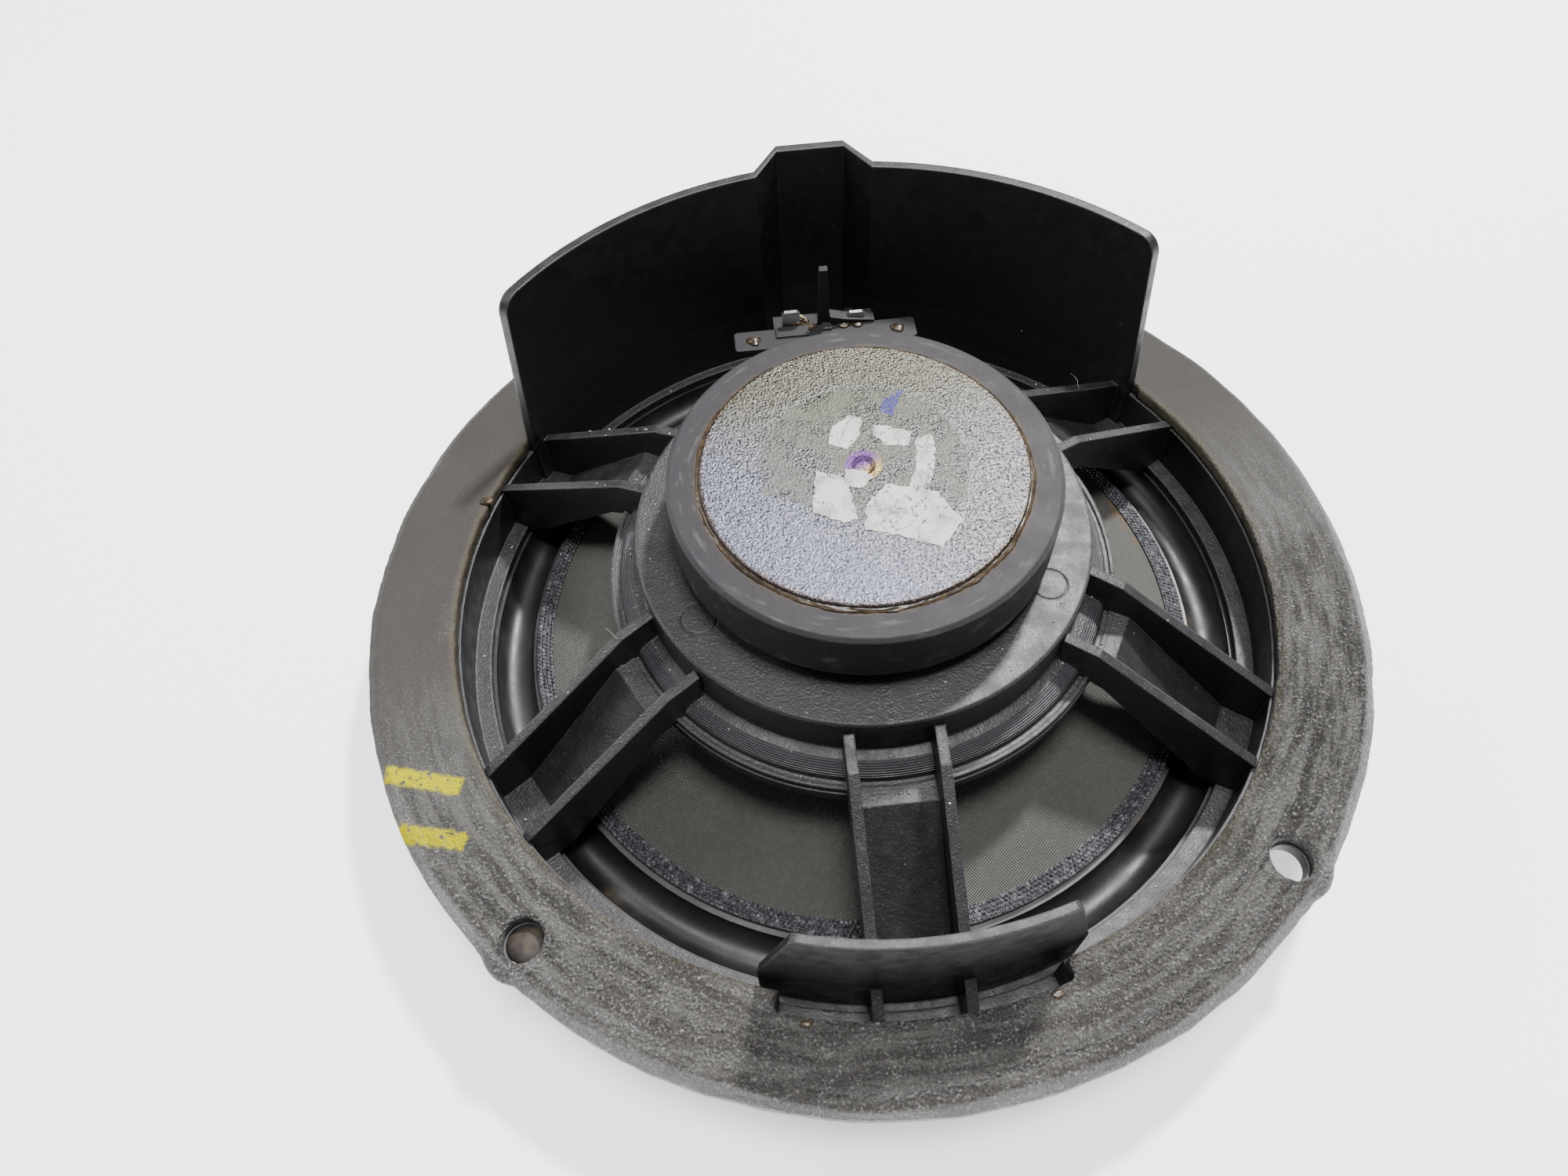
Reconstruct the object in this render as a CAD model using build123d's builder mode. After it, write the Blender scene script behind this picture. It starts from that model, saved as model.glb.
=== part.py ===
from build123d import *
import os
from math import cos, sin, radians, atan2, degrees

# Car door woofer, lying on its front rim with the magnet up.
# The origin is on the speaker's axis in the plane of the front rim, +Z runs
# from the front rim to the back of the magnet, and +Y points to the terminals.

# ---- collar, which carries the surround --------------------------------------
collar_in_r = 80.8
collar_t = 2.8
collar_bottom_z = 2.0
ledge_w = 3.3                 # the surround is glued under this ledge
ledge_t = 2.0
ledge_z = 7.5                 # underside of the ledge

# ---- flange, foam gasket and screw holes -------------------------------------
flange_w = 13.7               # from the collar to the flange's edge
flange_t = 2.6
gasket_face_z = 23.0          # rear face of the foam gasket above the front rim
gasket_t = 3.0                # foam on the back of the flange
gasket_over = 1.3             # the foam laps this far over the flange's edge
gasket_slope_w = 2.0          # sloped outer edge of the foam
gasket_slope_h = 1.6
gasket_lap = 1.6              # how far the foam laps down the flange's edge
gasket_lobe_drop = 1.2        # the foam is thinner on the screw lobes
gasket_gap = 0.3              # foam to the collar's bore, and to the screw holes
screw_edge = 4.8              # screw circle in from the flange's edge
screw_hole_r = 3.4            # four screw holes, 90 degrees apart
screw_lobe_r = 6.4            # material around each screw hole
screw_count = 4

# ---- hub, which carries the motor and the spider -----------------------------
hub_r = 42.4
hub_top_z = 42.2
hub_floor_t = 3.6
hub_wall_t = 2.0
hub_opening_r = 25.0
hub_edge = 0.4                # broken edge of the hub's top
shoulder_drop = 9.0           # hub's top to the sloped shoulder
shoulder_w = 2.2              # straight start of the shoulder
shoulder_fall = 0.5
shoulder_bow_w = 4.0          # point that the shoulder's curve passes through
shoulder_bow_fall = 1.6
landing_out = 6.4             # edge of the spider's landing outside the hub's wall
landing_drop = 12.6           # hub's top to the underside of the landing
landing_w = 5.0               # width of the spider's glued edge
landing_t = 1.6
landing_edge_t = 0.5
landing_lip_h = 0.9
landing_lip_t = 0.8
landing_lip_gap = 0.9
pin_mark_r = 3.3
pin_mark_line = 0.25
pin_mark_depth = 0.25
pin_mark_count = 3

# ---- six channel spokes ------------------------------------------------------
spoke_count = 6
spoke_half_w = 7.7            # axis of the spoke to the middle of each rib
rib_t = 1.9
rib_in_drop = 2.7             # top of a rib below the hub's top, at the hub
rib_kink_in = 0.3             # the rib's top turns down this far inside the landing's edge
rib_kink_drop = 4.0
rib_out_rise = 0.8            # top of a rib above the flange, at the collar
rib_root_rise = 1.2           # underside of the rib where it meets the landing
web_t = 2.0
web_rise = 0.8                # web above the landing's underside
web_flat_w = 2.6              # flat start of the web outside the landing
web_knee_out = 12.6           # knee of the web outside its flat start, and below it
web_knee_drop = 10.4
web_foot_in = 6.8             # foot of the web inside the collar, and above the ledge
web_foot_rise = 2.3
web_end_rise = 1.0

# ---- rain shield around the terminals ----------------------------------------
shield_in = 0.3               # middle of the wall inside the collar's bore
shield_t = 2.0
shield_h = 37.5               # above the gasket's face
shield_half_deg = 57.0        # at its foot
shield_lean = 4.0             # each end leans in by this much at the top
shield_corner_r = 4.0
bump_knee_deg = 9.0           # where the wall leaves its circle for the bump
bump_half_w = 7.3
bump_out = 7.2

# ---- locating tab opposite the terminals -------------------------------------
tab_in = 2.2                  # middle of the tab inside the collar's bore
tab_t = 1.5
tab_h = 23.2                  # above the gasket's face
tab_half_deg = 20.2           # at the height of the gasket's face
tab_turn_deg = 0.5            # the tab sits a little towards +X
tab_lean = 5.8
tab_corner_r = 1.2
pocket_half_deg = 17.0
pocket_side_deg = 1.2         # its side walls
pocket_out = 0.9              # pocket's far wall outside the collar
pocket_wall_t = 1.8
pocket_floor_z = 11.0

# ---- motor -------------------------------------------------------------------
plate_r = 30.0
plate_t = 5.0
plate_seat = 1.8              # the front plate sits this deep in the hub
plate_edge = 0.4
magnet_r = 34.9
magnet_t = 11.6
magnet_edge = 0.7
magnet_bore_gap = 1.9         # magnet's bore outside the front plate's bore
yoke_in = 6.0                 # edge of the yoke's disc inside the magnet's edge
yoke_proud = 1.15             # the disc stands this far above the magnet
yoke_seat = 3.2               # and is let this deep into it
yoke_edge = 0.5
pole_edge = 1.0
dimple_r = 3.0
dimple_depth = 0.7
dimple_floor_r = 1.35
seat_clearance = 0.1

# ---- voice coil, cone and suspension -----------------------------------------
former_in_r = 15.25
former_t = 0.3
pole_gap = 0.4                # pole to the former
winding_t = 0.5
winding_len = 11.0
coil_gap = 0.45               # winding to the front plate's bore
former_tail = 0.6             # bare former above the winding
former_neck = 1.0             # former below the cone's neck
cone_t = 0.95
cone_gap = 9.5                # edge of the cone to the ledge
cone_neck_drop = 5.2          # underside of the cone's neck below the spider's landing
band_w = 3.2
band_t = 0.5
roll_h = 4.6
roll_start = 0.3              # the roll starts this far outside the cone
roll_end = 0.2                # and ends this far outside the ledge's bore
rubber_t = 0.8
cap_over = 6.45               # dust cap's edge outside the former
cap_h = 7.4
cap_t = 0.8
spider_t = 0.6
spider_waves = 5
spider_wave_share = 0.18      # height of one wave against its length
spider_cuff_w = 2.4
spider_wall_gap = 1.2         # last wave to the hub's wall
spider_edge_in = 0.6
spider_ring_h = 2.2
spider_ring_over = 0.3
soft_clearance = 0.3          # between the spider and the coil former
clamp_clearance = 0.2
clamp_lip_over = 0.9          # the clamp ring covers the end of the collar
clamp_in = 0.4                # clamp ring's bore outside the ledge's bore
clamp_edge = 0.6

# ---- terminals and leads -----------------------------------------------------
terminal_out = 10.0           # middle of the terminal plate outside the landing
plate_w = 40.6
plate_d = 5.8
plate_h = 2.0
plate_corner_r = 0.8
seat_gap = 0.3                # terminal plate to its seat in the ribs, at each side
terminal_rise = 0.6           # terminal plate above the web's start
tongue_h = 3.6                # tongue of the block, between the ribs
housing_d = 4.6               # part of the block behind the terminal plate
housing_w = 22.4
housing_t = 1.4
boss_w = 7.2                  # raised boss in front of the left blade
boss_d = 3.0
boss_h = 0.5
hump_w = 10.0                 # sloping hump beside the right blade
hump_d = 2.6
hump_high = 2.6
hump_low = 0.7
post_base_w = 2.8             # tapered key between the blades
post_top_w = 1.8
post_d = 1.5
post_h = 15.4
post_foot_w = 2.2
post_foot_d = 1.6
post_foot_h = 0.6
tag_slot_x = 16.2
tag_slot_len = 3.2
tag_slot_w = 0.6
tag_slot_out = 0.5
blade_x = 7.3
blade_w = 4.0
blade_t = 0.8
blade_out = 0.9               # blades behind the terminal plate's rear edge
blade_heights = (4.0, 2.4)    # left and right, above the terminal plate
blade_inset = 1.2
blade_edge = 0.6
lead_r = 0.6
lead_bend_r = 3.6
eyelet_out = 4.8              # eyelets inside the landing's edge
eyelet_deg = 72.5             # direction of the eyelets, mirrored about +Y
eyelet_r = 1.1
eyelet_head_r = 2.0
eyelet_head_t = 0.5
fit = 0.1                     # side clearance of the terminal block in its spoke
root = 0.5                    # how far one feature of a moulding runs into the next

# ---- derived values ----------------------------------------------------------
collar_out_r = collar_in_r + collar_t
flange_r = collar_out_r + flange_w
screw_circle_r = flange_r - screw_edge
flange_top_z = gasket_face_z - gasket_t
gasket_in_r = collar_in_r + gasket_gap
gasket_out_r = flange_r + gasket_over
gasket_hole_r = screw_hole_r + gasket_gap
ledge_in_r = collar_in_r - ledge_w
ledge_top_z = ledge_z + ledge_t
ledge_mid_z = ledge_z + ledge_t / 2
landing_r = hub_r + landing_out
landing_z = hub_top_z - landing_drop
shoulder_z = hub_top_z - shoulder_drop
rib_in_z = hub_top_z - rib_in_drop
rib_kink_r = landing_r - rib_kink_in
rib_kink_z = hub_top_z - rib_kink_drop
rib_out_z = flange_top_z + rib_out_rise
rib_reach = (gasket_in_r**2 - (spoke_half_w + rib_t / 2) ** 2) ** 0.5  # just inside the foam's bore
rib_slope = (rib_kink_z - rib_out_z) / (collar_in_r - rib_kink_r)
web_in_z = landing_z + web_rise
web_flat_r = landing_r + web_flat_w
web_knee_r = web_flat_r + web_knee_out
web_foot_r = collar_in_r - web_foot_in
web_knee_z = web_in_z - web_knee_drop
web_foot_z = ledge_top_z + web_foot_rise
shield_mid_r = collar_in_r - shield_in
shield_top_z = gasket_face_z + shield_h
bump_y = shield_mid_r + bump_out
tab_mid_r = collar_in_r - tab_in
tab_mid_deg = -90 + tab_turn_deg
tab_top_z = gasket_face_z + tab_h
pocket_r = collar_out_r + pocket_out
yoke_r = magnet_r - yoke_in
plate_bottom_z = hub_top_z - plate_seat
magnet_bottom_z = plate_bottom_z + plate_t
magnet_top_z = magnet_bottom_z + magnet_t
pole_r = former_in_r - pole_gap
former_out_r = former_in_r + former_t
winding_out_r = former_out_r + winding_t
plate_bore_r = winding_out_r + coil_gap
magnet_in_r = plate_bore_r + magnet_bore_gap
winding_mid_z = plate_bottom_z + plate_t / 2
former_top_z = winding_mid_z + winding_len / 2 + former_tail
cone_r = ledge_in_r - cone_gap
band_in_r = cone_r - band_w
cone_neck_z = landing_z - cone_neck_drop
cone_slope = (cone_neck_z - ledge_z) / (band_in_r - former_out_r)
cap_r = former_out_r + cap_over
spider_in_r = former_out_r + soft_clearance
spider_out_r = landing_r - spider_edge_in
terminal_y = landing_r + terminal_out
terminal_z = web_in_z + terminal_rise
plate_back_y = terminal_y + plate_d / 2
plate_front_y = terminal_y - plate_d / 2
blade_y = plate_back_y + blade_out
eyelet_circle_r = landing_r - eyelet_out
spoke_angles = [90 + 360 / spoke_count * i for i in range(spoke_count)]


def polar(r, deg, z=0.0):
    """A point at radius r, direction deg and height z."""
    return (r * cos(radians(deg)), r * sin(radians(deg)), z)


def cone_under_z(r):
    """Height of the cone's underside at radius r."""
    return ledge_z + (band_in_r - r) * cone_slope


def ring_sector(inner_r, outer_r, mid_deg, half_deg):
    """Outline of a piece of a ring, drawn in the current line builder."""
    outer_arc = CenterArc((0, 0), outer_r, mid_deg - half_deg, 2 * half_deg)
    inner_arc = CenterArc((0, 0), inner_r, mid_deg - half_deg, 2 * half_deg)
    Line(outer_arc @ 0, inner_arc @ 0)
    Line(outer_arc @ 1, inner_arc @ 1)


def save(part, name):
    """Label a finished piece and write it as its own file."""
    part.label = name
    export_step(part, "parts/" + name + ".step")


def screw_places():
    """The four places on the screw circle."""
    return PolarLocations(screw_circle_r, screw_count, start_angle=45)


os.makedirs("parts", exist_ok=True)

# Rain shield seen from above: a circular wall with a flat-crested bump, where
# the plug goes in. Every corner of the outline is worked out once per face.
shield_faces = []
for half_t in (shield_t / 2, -shield_t / 2):
    face_r = shield_mid_r + half_t
    crest_y = bump_y + half_t
    shield_faces.append(
        {
            "left_end": polar(face_r, 90 + shield_half_deg)[:2],
            "left_mid": polar(face_r, 90 + (shield_half_deg + bump_knee_deg) / 2)[:2],
            "left_knee": polar(face_r, 90 + bump_knee_deg)[:2],
            "left_crest": (-bump_half_w, crest_y),
            "right_crest": (bump_half_w, crest_y),
            "right_knee": polar(face_r, 90 - bump_knee_deg)[:2],
            "right_mid": polar(face_r, 90 - (shield_half_deg + bump_knee_deg) / 2)[:2],
            "right_end": polar(face_r, 90 - shield_half_deg)[:2],
        }
    )
shield_outer, shield_inner = shield_faces
bump_corners = ("left_knee", "left_crest", "right_crest", "right_knee")


def shield_outline():
    """Outline of the rain shield, drawn in the current line builder."""
    ThreePointArc(shield_outer["left_end"], shield_outer["left_mid"], shield_outer["left_knee"])
    Polyline([shield_outer[corner] for corner in bump_corners])
    ThreePointArc(shield_outer["right_knee"], shield_outer["right_mid"], shield_outer["right_end"])
    Line(shield_outer["right_end"], shield_inner["right_end"])
    ThreePointArc(shield_inner["right_end"], shield_inner["right_mid"], shield_inner["right_knee"])
    Polyline([shield_inner[corner] for corner in reversed(bump_corners)])
    ThreePointArc(shield_inner["left_knee"], shield_inner["left_mid"], shield_inner["left_end"])
    Line(shield_inner["left_end"], shield_outer["left_end"])


def slant_outline(lean, top_z, corner_r, up):
    """What is cut off the end of a curved wall: a slant with a round top corner."""
    over = top_z + shield_corner_r
    corner_start = (lean, up * (top_z - corner_r))
    corner_end = (lean + corner_r, up * top_z)
    Line((0, up * gasket_face_z), corner_start)
    RadiusArc(corner_start, corner_end, up * corner_r)
    Polyline(
        corner_end,
        (lean + corner_r, up * over),
        (-shield_corner_r, up * over),
        (-shield_corner_r, up * gasket_face_z),
        (0, up * gasket_face_z),
    )


# ---- basket: one moulding ----------------------------------------------------
with BuildPart() as basket:
    # hub: floor with a recess for the front plate, skirt, sloped shoulder and landing
    shoulder_start = (hub_r + shoulder_w, shoulder_z - shoulder_fall)
    shoulder_bow = (hub_r + shoulder_bow_w, shoulder_z - shoulder_bow_fall)
    shoulder_end = (landing_r - landing_lip_t - landing_lip_gap, landing_z + landing_edge_t)
    with BuildSketch(Plane.XZ):
        with BuildLine():
            Polyline(
                (hub_opening_r, hub_top_z - hub_floor_t),
                (hub_opening_r, plate_bottom_z),
                (plate_r + seat_clearance, plate_bottom_z),
                (plate_r + seat_clearance, hub_top_z),
                (hub_r - hub_edge, hub_top_z),
                (hub_r, hub_top_z - hub_edge),
                (hub_r, shoulder_z),
                shoulder_start,
            )
            ThreePointArc(shoulder_start, shoulder_bow, shoulder_end)
            Polyline(
                shoulder_end,
                (landing_r - landing_lip_t, landing_z + landing_edge_t),
                (landing_r - landing_lip_t, landing_z + landing_lip_h),
                (landing_r, landing_z + landing_lip_h),
                (landing_r, landing_z),
                (landing_r - landing_w, landing_z),
                (hub_r - hub_wall_t, landing_z + landing_t),
                (hub_r - hub_wall_t, hub_top_z - hub_floor_t),
                (hub_opening_r, hub_top_z - hub_floor_t),
            )
        make_face()
    revolve(axis=Axis.Z)

    # collar: flange, wall and ledge
    with BuildSketch(Plane.XZ):
        with BuildLine():
            Polyline(
                (collar_in_r, collar_bottom_z),
                (collar_in_r, ledge_z),
                (ledge_in_r, ledge_z),
                (ledge_in_r, ledge_top_z),
                (collar_in_r, ledge_top_z),
                (collar_in_r, flange_top_z),
                (flange_r, flange_top_z),
                (flange_r, flange_top_z - flange_t),
                (collar_out_r, flange_top_z - flange_t),
                (collar_out_r, collar_bottom_z),
                (collar_in_r, collar_bottom_z),
            )
        make_face()
    revolve(axis=Axis.Z)

    # pocket in front of the locating tab: thicken the collar, then hollow it
    with BuildSketch(Plane.XY.offset(pocket_floor_z - pocket_wall_t)):
        with BuildLine():
            ring_sector(collar_out_r - root, pocket_r + pocket_wall_t, -90, pocket_half_deg + pocket_side_deg)
        make_face()
    extrude(amount=flange_top_z - flange_t - pocket_floor_z + pocket_wall_t)
    with BuildSketch(Plane.XY.offset(pocket_floor_z)):
        with BuildLine():
            ring_sector(collar_in_r - root, pocket_r, -90, pocket_half_deg)
        make_face()
    extrude(amount=gasket_face_z - pocket_floor_z, mode=Mode.SUBTRACT)

    # lobes around the screw holes
    with BuildSketch(Plane.XY.offset(flange_top_z - flange_t)):
        with screw_places():
            Circle(screw_lobe_r)
    extrude(amount=flange_t)

    # spokes: a sloped web between two upright ribs
    for spoke_deg in spoke_angles:
        spoke_plane = Plane((0, 0, 0), x_dir=polar(1, spoke_deg), z_dir=polar(1, spoke_deg - 90))
        under_pocket = round(spoke_deg) % 360 == 270
        rib_end_r = pocket_r if under_pocket else rib_reach
        rib_end_low_z = pocket_floor_z - root if under_pocket else ledge_top_z
        for side in (-1, 1):
            with BuildSketch(spoke_plane.offset(side * spoke_half_w - rib_t / 2)):
                Polygon(
                    (hub_r - root, rib_in_z),
                    (rib_kink_r, rib_kink_z),
                    (rib_end_r, rib_kink_z - (rib_end_r - rib_kink_r) * rib_slope),
                    (rib_end_r, rib_end_low_z),
                    (collar_in_r - root, ledge_mid_z),
                    (web_foot_r, web_foot_z - web_t),
                    (web_knee_r, web_knee_z - web_t),
                    (web_flat_r, web_in_z - web_t),
                    (landing_r - root, web_in_z - web_t + rib_root_rise),
                    (hub_r - root, landing_z + landing_t),
                    align=None,
                )
            extrude(amount=rib_t)
        with BuildSketch(spoke_plane.offset(-spoke_half_w)):
            Polygon(
                (landing_r - root, web_in_z),
                (web_flat_r, web_in_z),
                (web_knee_r, web_knee_z),
                (web_foot_r, web_foot_z),
                (collar_in_r + root, ledge_top_z + web_end_rise),
                (collar_in_r + root, ledge_mid_z),
                (web_foot_r, web_foot_z - web_t),
                (web_knee_r, web_knee_z - web_t),
                (web_flat_r, web_in_z - web_t),
                (landing_r - root, web_in_z - web_t + rib_root_rise),
                align=None,
            )
        extrude(amount=2 * spoke_half_w)

    # feet of the rain shield and of the locating tab, up to the gasket's face
    with BuildSketch(Plane.XY.offset(ledge_mid_z)):
        with BuildLine():
            shield_outline()
        make_face()
    extrude(amount=gasket_face_z - ledge_mid_z)
    with BuildSketch(Plane.XY.offset(ledge_mid_z)):
        with BuildLine():
            ring_sector(tab_mid_r - tab_t / 2, tab_mid_r + tab_t / 2, tab_mid_deg, tab_half_deg)
        make_face()
    extrude(amount=gasket_face_z - ledge_mid_z)

    # the hollow of the bump stays open down to the flange
    with BuildSketch(Plane.XY.offset(ledge_top_z)):
        Polygon([shield_inner[corner] for corner in bump_corners], align=None)
    extrude(amount=gasket_face_z - ledge_top_z, mode=Mode.SUBTRACT)
    with BuildSketch(Plane.XY.offset(ledge_z)):
        Polygon([shield_outer[corner] for corner in bump_corners], align=None)
    extrude(amount=ledge_t)

    # seat for the terminal plate across the ribs of the spoke at +Y
    seat_d = plate_d + housing_d + 2 * seat_gap
    with BuildSketch(Plane.XY.offset(terminal_z)):
        with Locations((0, plate_front_y - seat_gap + seat_d / 2)):
            Rectangle(2 * spoke_half_w + 2 * rib_t, seat_d)
    extrude(amount=rib_in_z - terminal_z, mode=Mode.SUBTRACT)

    # screw holes, and shallow marks of the ejector pins on the hub
    with Locations((0, 0, flange_top_z)):
        with screw_places():
            Hole(screw_hole_r, depth=flange_t)
    with BuildSketch(Plane.XY.offset(hub_top_z)):
        with PolarLocations((plate_r + hub_r) / 2 - seat_clearance, pin_mark_count, start_angle=90):
            Circle(pin_mark_r)
            Circle(pin_mark_r - pin_mark_line, mode=Mode.SUBTRACT)
    extrude(amount=-pin_mark_depth, mode=Mode.SUBTRACT)
save(basket.part, "basket")

# ---- rain shield and locating tab: walls of the same moulding, above the gaske
for wall_name, wall_r, mid_deg, half_deg, top_z, lean, corner_r in (
    ("rain_shield", shield_mid_r, 90, shield_half_deg, shield_top_z, shield_lean, shield_corner_r),
    ("locating_tab", tab_mid_r, tab_mid_deg, tab_half_deg, tab_top_z, tab_lean, tab_corner_r),
):
    with BuildPart() as wall:
        with BuildSketch(Plane.XY.offset(gasket_face_z)):
            with BuildLine():
                if wall_name == "rain_shield":
                    shield_outline()
                else:
                    ring_sector(wall_r - tab_t / 2, wall_r + tab_t / 2, mid_deg, half_deg)
            make_face()
        extrude(amount=top_z - gasket_face_z)
        for side in (-1, 1):
            end_deg = mid_deg + side * half_deg
            end_plane = Plane(polar(wall_r, end_deg), x_dir=polar(1, end_deg - side * 90), z_dir=polar(1, end_deg))
            with BuildSketch(end_plane):
                with BuildLine():
                    slant_outline(lean, top_z, corner_r, 1 if end_plane.y_dir.Z > 0 else -1)
                make_face()
            extrude(amount=2 * shield_corner_r, both=True, mode=Mode.SUBTRACT)
    save(wall.part, wall_name)

# ---- rear gasket: foam on the flange, lapped over its edge -------------------
with BuildPart() as rear_gasket:
    with BuildSketch(Plane.XZ):
        with BuildLine():
            Polyline(
                (gasket_in_r, flange_top_z),
                (gasket_in_r, gasket_face_z),
                (gasket_out_r - gasket_slope_w, gasket_face_z),
                (gasket_out_r, gasket_face_z - gasket_slope_h),
                (gasket_out_r, flange_top_z - gasket_lap),
                (flange_r, flange_top_z - gasket_lap),
                (flange_r, flange_top_z),
                (gasket_in_r, flange_top_z),
            )
        make_face()
    revolve(axis=Axis.Z)
    with BuildSketch(Plane.XY.offset(flange_top_z)):
        with screw_places():
            Circle(screw_lobe_r + gasket_over / 2)
    extrude(amount=gasket_t - gasket_lobe_drop)
    with BuildSketch(Plane.XY.offset(flange_top_z)):
        with screw_places():
            Circle(screw_lobe_r)
    extrude(amount=-flange_t, mode=Mode.SUBTRACT)
    with BuildSketch(Plane.XY.offset(flange_top_z)):
        with screw_places():
            Circle(gasket_hole_r)
    extrude(amount=gasket_t, mode=Mode.SUBTRACT)
    # room for the pocket and for the bump of the shield
    with BuildSketch(Plane.XY.offset(flange_top_z)):
        with BuildLine():
            ring_sector(collar_in_r - root, pocket_r, -90, pocket_half_deg)
        make_face()
    extrude(amount=gasket_t, mode=Mode.SUBTRACT)
    with BuildSketch(Plane.XY.offset(flange_top_z)):
        Polygon([shield_outer[corner] for corner in bump_corners], align=None)
        offset(amount=gasket_gap)
    extrude(amount=gasket_t, mode=Mode.SUBTRACT)
    # room for the shield's wall, which stands partly outside the collar's bore
    shield_room_r = shield_mid_r + shield_t / 2 + seat_clearance
    with BuildSketch(Plane.XY.offset(flange_top_z)):
        with BuildLine():
            ring_sector(collar_in_r - root, shield_room_r, 90, shield_half_deg + pocket_side_deg)
        make_face()
    extrude(amount=gasket_t, mode=Mode.SUBTRACT)
save(rear_gasket.part, "rear_gasket")

# ---- clamp ring: holds the surround up against the ledge and is the front rim 
clamp_in_r = ledge_in_r + clamp_in
clamp_out_r = collar_out_r + clamp_lip_over
with BuildPart() as clamp_ring:
    with BuildSketch(Plane.XZ):
        with BuildLine():
            Polyline(
                (clamp_in_r, clamp_edge),
                (clamp_in_r + clamp_edge, 0),
                (clamp_out_r - clamp_edge, 0),
                (clamp_out_r, clamp_edge),
                (clamp_out_r, collar_bottom_z),
                (collar_in_r - clamp_clearance, collar_bottom_z),
                (collar_in_r - clamp_clearance, ledge_z - rubber_t),
                (clamp_in_r, ledge_z - rubber_t),
                (clamp_in_r, clamp_edge),
            )
        make_face()
    revolve(axis=Axis.Z)
save(clamp_ring.part, "clamp_ring")

# ---- surround: a half roll that hangs towards the front between two flat edges
roll_in_r = cone_r + roll_start
roll_out_r = ledge_in_r + roll_end
roll_mid_r = (roll_in_r + roll_out_r) / 2
edge_out_r = collar_in_r - clamp_clearance
with BuildPart() as surround:
    with BuildSketch(Plane.XZ):
        with BuildLine():
            Line((band_in_r, ledge_z), (roll_in_r + rubber_t, ledge_z))
            ThreePointArc(
                (roll_in_r + rubber_t, ledge_z),
                (roll_mid_r, ledge_z - roll_h + rubber_t),
                (roll_out_r - rubber_t, ledge_z),
            )
            Polyline(
                (roll_out_r - rubber_t, ledge_z),
                (edge_out_r, ledge_z),
                (edge_out_r, ledge_z - rubber_t),
                (roll_out_r, ledge_z - rubber_t),
            )
            ThreePointArc(
                (roll_out_r, ledge_z - rubber_t),
                (roll_mid_r, ledge_z - roll_h),
                (roll_in_r, ledge_z - rubber_t),
            )
            Polyline(
                (roll_in_r, ledge_z - rubber_t),
                (band_in_r, ledge_z - rubber_t),
                (band_in_r, ledge_z),
            )
        make_face()
    revolve(axis=Axis.Z)
save(surround.part, "surround")

# ---- cone, with a flat edge on the surround and two rivet holes --------------
cone_tilt = atan2(cone_slope, 1)
eyelet_z = cone_under_z(eyelet_circle_r) + cone_t / 2
eyelet_places = []
for eyelet_dir in (eyelet_deg, 180 - eyelet_deg):
    eyelet_normal = polar(sin(cone_tilt), eyelet_dir, cos(cone_tilt))
    eyelet_places.append(Plane(polar(eyelet_circle_r, eyelet_dir, eyelet_z), z_dir=eyelet_normal))

with BuildPart() as cone:
    with BuildSketch(Plane.XZ):
        with BuildLine():
            Polyline(
                (former_out_r, cone_under_z(former_out_r)),
                (band_in_r, ledge_z),
                (cone_r, ledge_z),
                (cone_r, ledge_z + cone_t),
                (band_in_r, ledge_z + cone_t),
                (former_out_r, cone_under_z(former_out_r) + cone_t),
                (former_out_r, cone_under_z(former_out_r)),
            )
        make_face()
    revolve(axis=Axis.Z)
    for place in eyelet_places:
        with BuildSketch(place):
            Circle(eyelet_r)
        extrude(amount=2 * cone_t, both=True, mode=Mode.SUBTRACT)
save(cone.part, "cone")

# ---- stitched band on the cone's edge ----------------------------------------
with BuildPart() as edge_band:
    with BuildSketch(Plane.XY.offset(ledge_z + cone_t)):
        Circle(cone_r)
        Circle(band_in_r, mode=Mode.SUBTRACT)
    extrude(amount=band_t)
save(edge_band.part, "edge_band")

# ---- dust cap: a thin dome glued under the cone's neck -----------------------
cap_curve_r = (cap_r**2 + cap_h**2) / (2 * cap_h)
cap_centre_z = cone_under_z(cap_r) - cap_h + cap_curve_r
with BuildPart() as dust_cap:
    with Locations((0, 0, cap_centre_z)):
        Sphere(cap_curve_r)
        Sphere(cap_curve_r - cap_t, mode=Mode.SUBTRACT)
    # everything above the cone's underside is cut away
    with BuildSketch(Plane.XZ):
        Polygon(
            (0, cone_under_z(0)),
            (2 * cap_curve_r, cone_under_z(2 * cap_curve_r)),
            (2 * cap_curve_r, cap_centre_z + 2 * cap_curve_r),
            (0, cap_centre_z + 2 * cap_curve_r),
            align=None,
        )
    revolve(axis=Axis.Z, mode=Mode.SUBTRACT)
save(dust_cap.part, "dust_cap")

# ---- voice coil --------------------------------------------------------------
with BuildPart() as coil_former:
    with BuildSketch(Plane.XY.offset(cone_neck_z - former_neck)):
        Circle(former_out_r)
        Circle(former_in_r, mode=Mode.SUBTRACT)
    extrude(amount=former_top_z - cone_neck_z + former_neck)
save(coil_former.part, "coil_former")

with BuildPart() as coil_winding:
    with BuildSketch(Plane.XY.offset(winding_mid_z - winding_len / 2)):
        Circle(winding_out_r)
        Circle(former_out_r, mode=Mode.SUBTRACT)
    extrude(amount=winding_len)
save(coil_winding.part, "coil_winding")

# ---- spider: corrugated disc between the former and the hub's landing --------
wave_in_r = spider_in_r + spider_cuff_w
wave_out_r = hub_r - hub_wall_t - spider_wall_gap
wave_len = (wave_out_r - wave_in_r) / spider_waves
wave_h = spider_wave_share * wave_len


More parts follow.
